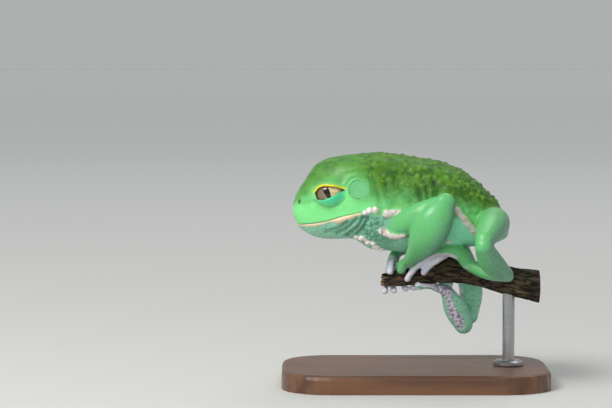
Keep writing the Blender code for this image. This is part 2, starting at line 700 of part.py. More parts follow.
# Each limb node: its tubes, the nodes whose tubes it is trimmed by, and its material
LIMBS = [
    ("thigh_left", THIGH_LEFT, [], "green"),
    ("thigh_right", THIGH_RIGHT, [], "green"),
    ("shank_left", SHANK_LEFT, ["thigh_left"], "green"),
    ("shank_right", SHANK_RIGHT, ["thigh_right"], "green"),
    ("tarsus_left", TARSUS_LEFT, ["shank_left", "thigh_left"], "green"),
    ("tarsus_right", TARSUS_RIGHT, ["shank_right"], "teal"),
    ("upper_arm_left", UPPER_ARM_LEFT, [], "mint"),
    ("upper_arm_right", UPPER_ARM_RIGHT, [], "mint"),
    ("forearm_left", FOREARM_LEFT, ["upper_arm_left"], "mint"),
    ("forearm_right", FOREARM_RIGHT, ["upper_arm_right"], "mint"),
    ("foot_left", FOOT_LEFT, ["tarsus_left", "forearm_left"], "mint"),
    ("foot_right", FOOT_RIGHT, ["tarsus_right", "foot_left", "shank_right"], "teal"),
    ("hand_left", HAND_LEFT, ["forearm_left", "foot_left", "foot_right"], "mint"),
    ("hand_right", HAND_RIGHT, ["forearm_right", "hand_left", "foot_right"], "mint"),
]


def make_limbs():
    """Every limb piece, trimmed by the body, the branch and its earlier neighbours."""
    tubes_of = {name: tubes for name, tubes, _, _ in LIMBS}
    for name, tubes, neighbours, look in LIMBS:
        obj = tubes[0].made(name)
        combine(obj, [tube.made("part") for tube in tubes[1:]], "UNION")
        cutters = [make_body("cut", GAP), perch_form("cut", GAP)]
        for other in neighbours:
            cutters += [tube.made("cut", GAP) for tube in tubes_of[other]]
        cut_each(obj, cutters)
        finish(keep_largest(obj), look)


def make_perch():
    """The branch, with a blind hole for the rod."""
    perch = perch_form("perch_branch")
    top = rod_top() + GAP
    low = 20.0
    hole = disc("cut", (ROD_X, 0, (top + low) / 2), (0, 0, 1), ROD_RADIUS + GAP, (top - low) / 2)
    combine(perch, [hole], "DIFFERENCE")
    finish(keep_largest(perch), "bark")


def rod_top():
    """Height of the rod's upper end, sunk a little way into the branch."""
    height, radius = branch_at(ROD_X)
    return height - radius + ROD_SUNK


def make_stand():
    """The base plate with a bevelled rim, and the turned rod with its flange."""
    bm = bmesh.new()
    outline = []
    for turn, (sx, sy) in enumerate(((1, 1), (-1, 1), (-1, -1), (1, -1))):
        cx = sx * (BASE_LENGTH / 2 - BASE_CORNER)
        cy = sy * (BASE_WIDTH / 2 - BASE_CORNER)
        for step in range(7):
            a = math.radians(90 * turn + 15 * step)
            outline.append((cx + BASE_CORNER * math.cos(a), cy + BASE_CORNER * math.sin(a)))
    low = [bm.verts.new(Vector((x, y, DATUM)) * MM) for x, y in outline]
    face = bm.faces.new(low)
    raised = bmesh.ops.extrude_face_region(bm, geom=[face])
    top = [v for v in raised["geom"] if isinstance(v, bmesh.types.BMVert)]
    bmesh.ops.translate(bm, verts=top, vec=(0, 0, BASE_HEIGHT * MM))
    rim = [e for e in bm.edges if all(v in top for v in e.verts)]
    bmesh.ops.bevel(bm, geom=rim, offset=BASE_BEVEL * MM, segments=2, profile=0.5,
                    affect="EDGES")
    finish(new_object("stand_base", bm), "walnut")

    foot = DATUM + BASE_HEIGHT + GAP
    profile = [(FLANGE_RADIUS, foot), (FLANGE_RADIUS, foot + FLANGE_HEIGHT * 0.6),
               (FLANGE_RADIUS * 0.8, foot + FLANGE_HEIGHT), (ROD_RADIUS, foot + FLANGE_HEIGHT),
               (ROD_RADIUS, rod_top())]
    rings = []
    for radius, z in profile:
        turns = [2 * math.pi * i / 20 for i in range(20)]
        rings.append([(ROD_X + radius * math.cos(a), radius * math.sin(a), z) for a in turns])
    rod = lofted("stand_rod", rings, (ROD_X, 0, foot), (ROD_X, 0, rod_top()))
    finish(rod, "steel")


LOOKS = {}


def finish(obj, look):
    """Give the object its material and smooth shading."""
    obj.data.materials.clear()
    obj.data.materials.append(LOOKS[look])
    obj.data.shade_smooth()
    obj.data.set_sharp_from_angle(angle=math.radians(50))


def main():
    """Build every node."""
    clear_scene()
    LOOKS.update(
        green=material("back_skin", GREEN), mint=material("side_skin", MINT),
        teal=material("belly_skin", TEAL), eye=material("eye", IRIS),
        bark=material("bark", BARK), walnut=material("base_wood", WALNUT),
        steel=material("rod_steel", STEEL, 1.0))
    head, jaw, torso = part_body()
    finish_head(head)
    combine(torso, [perch_form("cut", GAP)], "DIFFERENCE")
    keep_largest(torso)
    finish(head, "mint")
    finish(jaw, "teal")
    finish(torso, "green")
    make_eyes()
    make_ears()
    make_limbs()
    make_perch()
    make_stand()


main()
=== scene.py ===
"""The finished look of a life-size tree frog on a cut branch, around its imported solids.

Positions are worked out in millimetres in the frame of the solids and written to the meshes in
metres. The frog faces -X and its left side is towards -Y. Heights in the tables are above a level
that lies DATUM below the underside of the stand's base, as in the solids.
"""

import logging
import math
from dataclasses import dataclass
from enum import Enum
from typing import Sequence

import bpy
import numpy as np
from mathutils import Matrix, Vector


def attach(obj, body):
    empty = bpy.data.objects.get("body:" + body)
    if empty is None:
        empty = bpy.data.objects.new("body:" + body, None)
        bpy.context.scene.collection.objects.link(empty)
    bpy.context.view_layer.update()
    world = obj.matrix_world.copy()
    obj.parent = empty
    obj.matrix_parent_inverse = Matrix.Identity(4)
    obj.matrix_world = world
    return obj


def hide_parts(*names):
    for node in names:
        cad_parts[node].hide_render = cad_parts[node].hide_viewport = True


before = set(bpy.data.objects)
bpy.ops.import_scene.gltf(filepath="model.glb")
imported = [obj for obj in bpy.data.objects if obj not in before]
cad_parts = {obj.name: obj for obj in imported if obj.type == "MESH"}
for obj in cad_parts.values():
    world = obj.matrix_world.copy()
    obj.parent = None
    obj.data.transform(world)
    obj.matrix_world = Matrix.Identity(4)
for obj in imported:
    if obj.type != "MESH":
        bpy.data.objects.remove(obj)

log = logging.getLogger("frog")

MM = 0.001
DATUM = 4.5
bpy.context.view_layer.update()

# Factors, shifts and bit masks that scatter the numbers of lattice cells
CELL_FACTORS = (374761393, 668265263, 1274126177)
SEED_FACTOR = 97531
SCRAMBLES = ((13, 1103515245), (16, 69069))
LOW_BITS = 0x7FFFFFFF
KEPT_BITS = 0xFFFFFF

# Round ends of limbs, in degrees, and the spacing of a limb's rings in millimetres
CAP_ANGLES = (15, 30, 45, 60, 75)
RING_STEP = 0.4

# Stands for a distance that is too large to matter, and the steps of a line between two points
FAR = 99.0
LINE_STEPS = 12

Array = np.ndarray
Route = Sequence[tuple[float, float, float]]


class Side(Enum):
    """The two sides of the frog, with the sign of Y on each."""

    LEFT = -1
    RIGHT = 1


# Helpers for curves, noise and masks


def smooth_step(low: float, high: float, values: Array) -> Array:
    """An S-shaped rise from 0 at low to 1 at high.

    Args:
        low: Value where the rise starts; it may lie above high for a fall.
        high: Value where it ends.
        values: Any array.

    Returns:
        3t^2 - 2t^3 with t the clipped share of the way from low to high.
    """
    t = np.clip((values - low) / (high - low), 0.0, 1.0)
    return t * t * (3 - 2 * t)


def bell(distance: Array, width: float) -> Array:
    """A bump of height 1 that falls off as exp(-(distance / width)^2)."""
    return np.exp(-((distance / width) ** 2))


def curve_at(knots: Sequence[float], values: Array, places: Array) -> Array:
    """Cubic Hermite values at the places, with slopes from each knot's neighbours.

    Args:
        knots: Rising parameters of the known values.
        values: One row of numbers for each knot.
        places: Parameters to read the curve at.

    Returns:
        One row of numbers for each place.
    """
    values = np.asarray(values, float)
    knots = np.asarray(knots, float)
    slopes = np.gradient(values, knots, axis=0)
    left = np.clip(np.searchsorted(knots, places, side="right") - 1, 0, len(knots) - 2)
    width = (knots[left + 1] - knots[left])[:, None]
    t = (places - knots[left])[:, None] / width
    return (
        (2 * t**3 - 3 * t**2 + 1) * values[left]
        + (t**3 - 2 * t**2 + t) * width * slopes[left]
        + (-2 * t**3 + 3 * t**2) * values[left + 1]
        + (t**3 - t**2) * width * slopes[left + 1]
    )


def curve_through(rows: Array, count: int) -> Array:
    """Rows of a smooth curve through the given rows, evenly spaced along its chords."""
    rows = np.asarray(rows, float)
    steps = np.linalg.norm(np.diff(rows[:, :3], axis=0), axis=1)
    knots = np.concatenate([[0.0], np.cumsum(steps)])
    return curve_at(knots, rows, np.linspace(0.0, knots[-1], count))


def lattice(corners: Array, seed: int) -> Array:
    """A fixed pseudo-random number from 0 to 1 for each integer cell.

    Args:
        corners: Integer coordinates, one row of three for each point.
        seed: Which of the fixed patterns to read.

    Returns:
        One number for each cell, from mixed and masked integer products.
    """
    c = corners.astype(np.int64)
    h = sum(c[..., k] * factor for k, factor in enumerate(CELL_FACTORS)) + seed * SEED_FACTOR
    for shift, factor in SCRAMBLES:
        h = (h ^ (h >> shift)) * factor & LOW_BITS
    return (h & KEPT_BITS) / float(KEPT_BITS)


def noise(points: Array, size: float, seed: int = 0) -> Array:
    """Smooth noise from -1 to 1: lattice numbers blended along S-curves between cell corners."""
    p = points / size
    base = np.floor(p).astype(np.int64)
    t = p - base
    t = t * t * (3 - 2 * t)
    total = np.zeros(len(points))
    for corner in range(8):
        pick = np.array([corner & 1, corner >> 1 & 1, corner >> 2 & 1])
        share = np.prod(np.where(pick, t, 1 - t), axis=1)
        total += share * lattice(base + pick, seed)
    return 2 * total - 1


def cells(points: Array, size: float, seed: int = 0) -> tuple[Array, Array]:
    """Distances to the nearest and second nearest of one random point in each lattice cell.

    Args:
        points: Positions, one row for each point.
        size: Edge of a lattice cell.
        seed: Which pattern to read.

    Returns:
        The two distances, in cell edges.
    """
    p = points / size
    base = np.floor(p).astype(np.int64)
    near = np.full(len(points), 9.0)
    second = np.full(len(points), 9.0)
    for shift in np.ndindex(3, 3, 3):
        cell = base + np.array(shift) - 1
        spot = np.stack([lattice(cell, seed + k) for k in (1, 2, 3)], axis=1)
        gap = np.linalg.norm(cell + spot - p, axis=1)
        second = np.minimum(second, np.maximum(near, gap))
        near = np.minimum(near, gap)
    return near, second


def plateaus(points: Array, size: float, seed: int, edge: float) -> Array:
    """Flat tops parted by grooves: an S-curve of how much farther the second spot is."""
    near, second = cells(points, size, seed)
    return smooth_step(0.0, edge, second - near)


def in_box(points: Array, line: Route | Array, reach: float) -> Array:
    """Which points lie in the box round a line, grown by a reach."""
    line = np.asarray(line, float)
    low, high = line.min(axis=0) - reach, line.max(axis=0) + reach
    return np.all((points > low) & (points < high), axis=1)


def upright_frame(out: Array) -> tuple[Array, Array]:
    """The level direction and the upward one across an outward direction."""
    level = np.cross(out, (0, 0, 1.0))
    level /= np.linalg.norm(level)
    return level, np.cross(level, out)


def line_distance(points: Array, line: Route | Array) -> tuple[Array, Array]:
    """Distance from each point to a smooth line, and how far along the line that is.

    Args:
        points: Positions in two or three dimensions.
        line: The points that the line goes through, of the same dimension.

    Returns:
        The distances, and the places along the line from 0 to 1.
    """
    line = np.asarray(line, float)
    steps = np.linalg.norm(np.diff(line, axis=0), axis=1)
    knots = np.concatenate([[0.0], np.cumsum(steps)])
    fine = curve_at(knots, line, np.linspace(0, knots[-1], LINE_STEPS * len(line)))
    best = np.full(len(points), 1e9)
    place = np.zeros(len(points))
    for i, (start, end) in enumerate(zip(fine, fine[1:])):
        way = end - start
        t = np.clip((points - start) @ way / max(way @ way, 1e-12), 0, 1)
        gap = np.linalg.norm(points - start - t[:, None] * way, axis=1)
        nearer = gap < best
        best[nearer] = gap[nearer]
        place[nearer] = (i + t[nearer]) / (len(fine) - 1)
    return best, place


# Helpers for meshes


@dataclass
class Surface:
    """Vertices in millimetres and faces, before they become an object."""

    points: Array
    quads: Array
    tris: Array

    @staticmethod
    def joined(parts: Sequence["Surface"]) -> "Surface":
        """All the parts as one surface, with the faces' numbers moved on."""
        starts = np.concatenate([[0], np.cumsum([len(p.points) for p in parts])])
        return Surface(
            np.concatenate([p.points for p in parts]),
            np.concatenate([p.quads + s for p, s in zip(parts, starts)]),
            np.concatenate([p.tris + s for p, s in zip(parts, starts)]),
        )

    def piece(self, name: str) -> bpy.types.Object:
        """An object of this surface, lowered to the base's underside and smooth shaded."""
        mesh = bpy.data.meshes.new(name)
        verts = (self.points - (0, 0, DATUM)) * MM
        quads, tris = len(self.quads), len(self.tris)
        mesh.vertices.add(len(verts))
        mesh.vertices.foreach_set("co", verts.astype(np.float32).ravel())
        mesh.loops.add(4 * quads + 3 * tris)
        corners = np.concatenate([self.quads.ravel(), self.tris.ravel()])
        mesh.loops.foreach_set("vertex_index", corners.astype(np.int32))
        mesh.polygons.add(quads + tris)
        starts = np.concatenate([4 * np.arange(quads), 4 * quads + 3 * np.arange(tris)])
        mesh.polygons.foreach_set("loop_start", starts.astype(np.int32))
        mesh.update(calc_edges=True)
        mesh.validate()
        mesh.shade_smooth()
        made = bpy.data.objects.new(name, mesh)
        bpy.context.scene.collection.objects.link(made)
        return made


def closed_grid(rings: Array, start: Array, end: Array) -> Surface:
    """A closed surface from rings of points, drawn together to a pole at both ends.

    Args:
        rings: Positions by ring and place round the ring; the rings turn so that faces point out.
        start: The pole before the first ring.
        end: The pole after the last ring.

    Returns:
        The surface, with quads between the rings and triangles at the poles.
    """
    count, sides, _ = rings.shape
    index = np.arange(count * sides).reshape(count, sides)
    beside = np.roll(index, -1, axis=1)
    quads = np.stack([index[:-1], beside[:-1], beside[1:], index[1:]], axis=-1).reshape(-1, 4)
    first = np.full(sides, count * sides)
    last = first + 1
    tris = np.concatenate(
        [
            np.stack([first, beside[0], index[0]], axis=1),
            np.stack([last, index[-1], beside[-1]], axis=1),
        ]
    )
    points = np.concatenate([rings.reshape(-1, 3), [start, end]])
    return outward_faces(Surface(points, quads, tris))


def outward_faces(surface: Surface) -> Surface:
    """The surface with its faces turned to point out, if its signed volume is negative."""
    p = surface.points
    volume = 0.0
    for faces in (surface.quads[:, [0, 1, 2]], surface.quads[:, [0, 2, 3]], surface.tris):
        a, b, c = p[faces[:, 0]], p[faces[:, 1]], p[faces[:, 2]]
        volume += float(np.sum(a * np.cross(b, c)))
    if volume < 0:
        surface.quads = surface.quads[:, ::-1]
        surface.tris = surface.tris[:, ::-1]
    return surface


def mesh_points(obj: bpy.types.Object) -> Array:
    """The object's vertices in millimetres, with heights above the datum."""
    flat = np.empty(3 * len(obj.data.vertices), np.float32)
    obj.data.vertices.foreach_get("co", flat)
    return flat.reshape(-1, 3).astype(float) / MM + (0, 0, DATUM)


def set_points(obj: bpy.types.Object, points: Array) -> None:
    """Write vertices, given in millimetres with heights above the datum."""
    flat = ((points - (0, 0, DATUM)) * MM).astype(np.float32).ravel()
    obj.data.vertices.foreach_set("co", flat)
    obj.data.update()


def mesh_normals(obj: bpy.types.Object) -> Array:
    """The outward direction at each vertex."""
    flat = np.empty(3 * len(obj.data.vertices), np.float32)
    obj.data.vertex_normals.foreach_get("vector", flat)
    return flat.reshape(-1, 3).astype(float)


def relax(obj: bpy.types.Object, rounds: int, share: float | Array = 0.5) -> None:
    """Move each vertex towards the mean of its neighbours.

    Args:
        obj: The object to smooth.
        rounds: How many times.
        share: How much of the way, one number or one for each vertex.
    """
    pairs = np.empty(2 * len(obj.data.edges), np.int32)
    obj.data.edges.foreach_get("vertices", pairs)
    a, b = pairs.reshape(-1, 2).T
    points = mesh_points(obj)
    size = len(points)
    valence = np.bincount(a, minlength=size) + np.bincount(b, minlength=size)
    for _ in range(rounds):
        mean = np.stack(
            [
                np.bincount(a, points[b, k], size) + np.bincount(b, points[a, k], size)
                for k in range(3)
            ],
            axis=1,
        ) / np.maximum(valence, 1)[:, None]
        points += np.reshape(share, (-1, 1)) * (mean - points)
    set_points(obj, points)


def apply_modifiers(obj: bpy.types.Object) -> None:
    """Replace the object's mesh by the shape that its modifiers give."""
    bpy.context.view_layer.update()
    graph = bpy.context.evaluated_depsgraph_get()
    mesh = bpy.data.meshes.new_from_object(obj.evaluated_get(graph))
    obj.modifiers.clear()
    obj.data = mesh


def fuse(obj: bpy.types.Object, voxel: float) -> None:
    """Turn overlapping closed surfaces into one skin by a voxel remesh.

    Args:
        obj: The object whose surfaces overlap.
        voxel: Edge of a voxel in millimetres.
    """
    step = obj.modifiers.new("fuse", "REMESH")
    step.mode = "VOXEL"
    step.voxel_size = voxel * MM
    step.use_smooth_shade = True
    apply_modifiers(obj)


def carve(obj: bpy.types.Object, cutter: bpy.types.Object) -> None:
    """Cut a closed form out of a closed object, and remove the cutter."""
    step = obj.modifiers.new("carve", "BOOLEAN")
    step.operation = "DIFFERENCE"
    step.solver = "MANIFOLD"
    step.object = cutter
    apply_modifiers(obj)
    bpy.data.objects.remove(cutter)


def write_mask(obj: bpy.types.Object, name: str, values: Array) -> None:
    """Store one number for each vertex, for the materials to read."""
    made = obj.data.attributes.new(name, "FLOAT", "POINT")
    made.data.foreach_set("value", np.clip(values, 0, 1).astype(np.float32))


# Shader kit


class Sock:
    """A shader socket on which Python's operators add Math nodes."""

    def __init__(self, kit: "Kit", socket: bpy.types.NodeSocket):
        self.kit = kit
        self.socket = socket

    def _maths(self, operation: str, *values: object) -> "Sock":
        """Add one Math node."""
        return self.kit.node("ShaderNodeMath", {"operation": operation}, dict(enumerate(values)))

    def __add__(self, other: object) -> "Sock":
        """Sum."""
        return self._maths("ADD", self, other)

    def __radd__(self, other: object) -> "Sock":
        """Sum, reflected."""
        return self._maths("ADD", other, self)

    def __sub__(self, other: object) -> "Sock":
        """Difference."""
        return self._maths("SUBTRACT", self, other)

    def __rsub__(self, other: object) -> "Sock":
        """Difference, reflected."""
        return self._maths("SUBTRACT", other, self)

    def __mul__(self, other: object) -> "Sock":
        """Product."""
        return self._maths("MULTIPLY", self, other)

    def __rmul__(self, other: object) -> "Sock":
        """Product, reflected."""
        return self._maths("MULTIPLY", other, self)

    def rise(self, low: float, high: float) -> "Sock":
        """An S-shaped rise from 0 at low to 1 at high."""
        return self.kit.node(
            "ShaderNodeMapRange",
            {"interpolation_type": "SMOOTHSTEP", "clamp": True},
            {"Value": self, "From Min": low, "From Max": high},
        )


class Kit:
    """One material's node tree, with the calls that add nodes to it."""

    def __init__(self, name: str):
        """Start a material with a Principled shader."""
        self.material = bpy.data.materials.new(name)
        self.material.use_nodes = True
        self.tree = self.material.node_tree
        self.shader = self.tree.nodes["Principled BSDF"]

    def node(
        self, kind: str, settings: dict | None = None, sockets: dict | None = None, out: object = 0
    ) -> Sock:
        """Add one node.

        Args:
            kind: The node's type.
            settings: Properties, set before the sockets.
            sockets: Inputs by name or number: a number, a colour, or a Sock to link.
            out: Which output to hand back.

        Returns:
            The wanted output.
        """
        made = self.tree.nodes.new(kind)
        for key, value in (settings or {}).items():
            setattr(made, key, value)
        for key, value in (sockets or {}).items():
            self._feed(made.inputs[key], value)
        return Sock(self, made.outputs[out])

    def _feed(self, socket: bpy.types.NodeSocket, value: object) -> None:
        """Link a Sock to the socket, or set the socket's own value."""
        if isinstance(value, Sock):
            self.tree.links.new(value.socket, socket)
        elif isinstance(value, tuple) and len(value) == 3 and socket.type == "RGBA":
            socket.default_value = (*value, 1.0)
        else:
            socket.default_value = value

    def position(self) -> Sock:
        """Object coordinates, in metres."""
        return self.node("ShaderNodeTexCoord", out="Object")

    def mask(self, name: str) -> Sock:
        """A number stored on the vertices."""
        return self.node("ShaderNodeAttribute", {"attribute_name": name}, out="Fac")

    def mix(self, share: object, first: object, second: object, blend: str = "MIX") -> Sock:
        """The second colour laid over the first, or blended in another way, by a share."""
        return self.node(
            "ShaderNodeMix",
            {"data_type": "RGBA", "blend_type": blend, "clamp_factor": True},
            {0: share, 6: first, 7: second},
            out=2,
        )

    def layers(self, base: object, **tones: object) -> Sock:
        """The base colour with each tone laid over it, in order, by the mask of its name."""
        for name, tone in tones.items():
            base = self.mix(self.mask(name), base, tone)
        return base

    def stretched(self, scale: tuple[float, float, float]) -> Sock:
        """Object coordinates scaled along each axis."""
        return self.node("ShaderNodeMapping", {}, {"Vector": self.position(), "Scale": scale})

    def clouds(self, scale: float, detail: float = 3.0, at: Sock | None = None) -> Sock:
        """Soft noise from 0 to 1, with scale in features a metre."""
        return self.node(
            "ShaderNodeTexNoise",
            {},
            {"Vector": at or self.position(), "Scale": scale, "Detail": detail},
        )

    def grains(self, scale: float) -> Sock:
        """Distance to the nearest of many scattered points."""
        return self.node("ShaderNodeTexVoronoi", {}, {"Vector": self.position(), "Scale": scale})

    def bump(self, height: Sock, depth: float, strength: float = 1.0) -> Sock:
        """A normal from heights, depth in metres."""
        return self.node(
            "ShaderNodeBump", {}, {"Height": height, "Distance": depth, "Strength": strength}
        )

    def surface(self, **values: object) -> bpy.types.Material:
        """Feed the Principled shader and hand back the material.

        Args:
            values: Socket names with underscores for spaces: numbers, colours or Socks.

        Returns:
            The material.
        """
        for key, value in values.items():
            self._feed(self.shader.inputs[key.replace("_", " ")], value)
        return self.material


# Sizes of the frog


@dataclass(frozen=True)
class BodyForm:
    """The body from snout to rump, as rings of two half superellipses along X.

    Attributes:
        stations: Places along X where the rings are given.
        top: Height of the spine at each.
        low: Height of the underside at each.
        half: Half width at each.
        widest: Height of the widest line at each.
        snout: Foremost point, as X and height.
        rump: Hindmost point, as X and height.
        top_power: How square the upper half is; 2 is an ellipse.
        low_power: The same for the lower half.
        ridge_angle: Angle from the spine of the long low ridge on each side of the back.
        ridge_spread: Its width, as an angle.
        ridge_height: Its height.
        ridge_ends: Where it starts and ends along X.
        cap_angles: Degrees at which the end rings shrink towards snout and rump.
    """

    stations: tuple = (
        -39.7, -38.5, -36.0, -33.4, -30.0, -25.0, -20.0, -15.0, -8.0, 0.0, 8.0, 15.0, 21.0,
        26.0, 29.3,
    )
    top: tuple = (
        65.6, 68.4, 72.4, 76.3, 78.6, 79.9, 80.5, 80.9, 80.7, 79.5, 78.1, 75.3, 70.7, 65.6, 61.0,
    )
    low: tuple = (
        59.4, 56.9, 54.7, 53.4, 52.7, 52.6, 52.4, 49.4, 48.6, 48.2, 49.2, 50.0, 50.2, 51.0, 52.4,
    )
    half: tuple = (
        4.4, 6.6, 8.8, 10.2, 11.2, 12.3, 13.0, 13.1, 13.3, 14.4, 15.2, 14.7, 12.8, 9.6, 6.0,
    )
    widest: tuple = (
        61.5, 61.2, 61.2, 61.4, 61.8, 62.4, 63.0, 63.2, 62.6, 61.6, 61.0, 60.6, 60.0, 58.8, 57.6,
    )
    snout: tuple = (-40.4, 62.4)
    rump: tuple = (31.0, 56.8)
    top_power: float = 2.5
    low_power: float = 2.2
    ridge_angle: float = 0.72
    ridge_spread: float = 0.2
    ridge_height: float = 0.9
    ridge_ends: tuple = (-31.0, 8.0)
    cap_angles: tuple = (20, 40, 58, 74)

    def sizes(self, xs: Array) -> tuple[Array, Array, Array, Array]:
        """Top, bottom, half width and widest height at each x."""
        table = np.column_stack([self.top, self.low, self.half, self.widest])
        return tuple(curve_at(self.stations, table, np.atleast_1d(xs)).T)

    def point(self, xs: Array, angles: Array) -> Array:
        """Points of the skin.

        Args:
            xs: Places along X.
            angles: Angles from the spine towards the left side, one for each x.

        Returns:
            Half width times |sin|^(2/p) sideways and the reach times |cos|^(2/p) up or down,
            both grown by a long low ridge on each side of the back.
        """
        top, low, half, widest = self.sizes(xs)
        c, s = np.cos(angles), np.sin(angles)
        power = np.where(c >= 0, self.top_power, self.low_power)
        more = self.ridge(xs, angles)
        reach = np.where(c >= 0, top - widest, widest - low) + more
        y = -(half + more) * np.sign(s) * np.abs(s) ** (2 / power)
        z = widest + np.sign(c) * reach * np.abs(c) ** (2 / power)
        return np.stack([xs, y, z], axis=1)

    def surface(self, rings: int = 220, sides: int = 180) -> Surface:
        """The whole body; the end rings shrink towards snout and rump like half circles.

        Args:
            rings: Rings between the two end caps.
            sides: Points round a ring.

        Returns:
            A closed surface.
        """
        turns = np.linspace(-math.pi, math.pi, sides, endpoint=False)
        xs = np.linspace(self.stations[0], self.stations[-1], rings)
        grid = self.point(np.repeat(xs, sides), np.tile(turns, rings)).reshape(rings, sides, 3)
        caps = []
        for ring, tip in ((grid[0], self.snout), (grid[-1], self.rump)):
            pole = np.array([tip[0], 0.0, tip[1]])
            cap = []
            for angle in np.radians(self.cap_angles):
                shrunk = pole + (ring - pole) * math.cos(angle)
                shrunk[:, 0] = ring[:, 0] + (pole[0] - ring[:, 0]) * math.sin(angle)
                cap.append(shrunk)
            caps.append((cap, pole))
        (front, snout), (back, rump) = caps
        rows = np.stack([*front[::-1], *grid, *back])
        return closed_grid(rows, snout, rump)

    def share(self, points: Array) -> tuple[Array, Array]:
        """Where points lie in the body's cross-section.

        Args:
            points: Positions in millimetres.

        Returns:
            The height above the widest line as a share of the reach there, from -1 to 1, and the
            distance outside the skin in millimetres, roughly.
        """
        xs = np.clip(points[:, 0], self.stations[0], self.stations[-1])
        top, low, half, widest = self.sizes(xs)
        rise = points[:, 2] - widest
        reach = np.where(rise >= 0, top - widest, widest - low)
        power = np.where(rise >= 0, self.top_power, self.low_power)
        up = rise / reach
        wide = np.abs(points[:, 1] / half)
        r = (wide**power + np.abs(up) ** power) ** (1 / power)
        away = (r - 1) / np.maximum(r, 0.2) * np.hypot(points[:, 1], rise)
        angles = np.arctan2(wide ** (power / 2), np.sign(up) * np.abs(up) ** (power / 2))
        return up, away - self.ridge(xs, angles) + np.abs(points[:, 0] - xs)

    def ridge(self, xs: Array, angles: Array) -> Array:
        """Height of the long low ridge on each side of the back: a bell across its angle."""
        first, last = self.ridge_ends
        along = np.clip((xs - first) * (last - xs), 0, None) / ((last - first) ** 2 / 4)
        across = bell(np.abs(angles) - self.ridge_angle, self.ridge_spread)
        return self.ridge_height * along * across

    def flank(self, x: float, z: float, side: Side, lift: float = 0.0) -> Array:
        """The point of the flank at x and z, moved outwards by lift."""
        top, low, half, widest = (float(v[0]) for v in self.sizes(np.array([x])))
        upper = z >= widest
        share = (z - widest) / (top - widest) if upper else (widest - z) / (widest - low)
        power = self.top_power if upper else self.low_power
        width = half * max(1 - min(share, 1.0) ** power, 0.0) ** (1 / power)
        return np.array([x, side.value * (width + lift), z])

    def outward(self, x: float, z: float, side: Side, step: float = 0.3) -> Array:
        """The flank's outward direction at x and z, from points a step away on it."""
        along = self.flank(x + step, z, side) - self.flank(x - step, z, side)
        up = self.flank(x, z + step, side) - self.flank(x, z - step, side)
        normal = np.cross(along, up)
        normal /= np.linalg.norm(normal)
        return normal if normal[1] * side.value > 0 else -normal


BODY = BodyForm()


@dataclass(frozen=True)
class Tube:
    """A limb's or digit's round form along a smooth route.

    Attributes:
        route: Points of the bone line.
        radii: Half thickness at each.
        flat: Thickness along the hint as a share of the thickness across it.
        hint: Direction of the flattening; None picks the axis most nearly across the route.
        pale: Direction of the pale side; None is towards the branch.
        pale_from: How far towards that direction the pale colour starts, from -1 to 1.
        joints: Places along the route, from 0 to 1, of slight knuckles.
        knuckle: How much a knuckle swells, as a share, and its length along the route.
    """

    route: Route
    radii: tuple[float, ...]
    flat: float = 1.0
    hint: tuple[float, float, float] | None = None
    pale: tuple[float, float, float] | None = (0.0, 0.0, -1.0)
    pale_from: float = 0.25
    joints: tuple[float, ...] = ()
    knuckle: tuple[float, float] = (0.18, 0.06)

    def line(self, count: int) -> Array:
        """Centres and radii along the route, with the knuckles' swellings."""
        rows = curve_through(np.column_stack([np.asarray(self.route, float), self.radii]), count)
        places = np.linspace(0, 1, count)
        swell, length = self.knuckle
        for joint in self.joints:
            rows[:, 3] *= 1 + swell * bell(places - joint, length)
        return rows

    def pale_way(self, centres: Array) -> Array:
        """The unit direction of the pale side at points of the bone line."""
        if self.pale is None:
            perch = np.asarray(PERCH.route, float)
            height = np.interp(centres[:, 0], perch[:, 0], perch[:, 2])
            way = np.stack([0 * height, -centres[:, 1], height - centres[:, 2]], axis=1)
        else:
            way = np.tile(np.asarray(self.pale, float), (len(centres), 1))
        return way / np.maximum(np.linalg.norm(way, axis=1), 1e-6)[:, None]

    def surface(self, sides: int = 36) -> Surface:
        """The closed form: a flattened circle carried along the route, with round ends.

        Args:
            sides: Points round a ring.

        Returns:
            Each ring is centre + radius * (cos a * side + flat * sin a * thickness direction).
        """
        length = float(np.sum(np.linalg.norm(np.diff(np.array(self.route), axis=0), axis=1)))
        rows = self.line(max(int(length / RING_STEP), 8))
        centres, radii = rows[:, :3], rows[:, 3]
        tangents = np.gradient(centres, axis=0)
        tangents /= np.linalg.norm(tangents, axis=1)[:, None]
        hint = self.hint
        if hint is None:
            hint = np.eye(3)[np.argmin(np.abs(tangents).max(axis=0))]
        caps = np.radians(CAP_ANGLES)
        ends = []
        for row, way in ((0, -1), (-1, 1)):
            shift = way * radii[row] * np.sin(caps)
            ends.append((centres[row] + shift[:, None] * tangents[row], radii[row] * np.cos(caps)))
        (low_c, low_r), (high_c, high_r) = ends
        count = len(caps)
        all_c = np.concatenate([low_c[::-1], centres, high_c])
        all_r = np.concatenate([low_r[::-1], radii, high_r])
        all_t = np.concatenate(
            [np.repeat(tangents[:1], count, 0), tangents, np.repeat(tangents[-1:], count, 0)]
        )
        thick = np.asarray(hint, float) - all_t * (all_t @ np.asarray(hint, float))[:, None]
        thick /= np.linalg.norm(thick, axis=1)[:, None]
        side = np.cross(all_t, thick)
        turns = np.linspace(0, 2 * math.pi, sides, endpoint=False)
        across = np.cos(turns)[None, :, None] * side[:, None]
        through = self.flat * np.sin(turns)[None, :, None] * thick[:, None]
        rings = all_c[:, None] + all_r[:, None, None] * (across + through)
        start = centres[0] - tangents[0] * radii[0]
        end = centres[-1] + tangents[-1] * radii[-1]
        return closed_grid(rings, start, end)


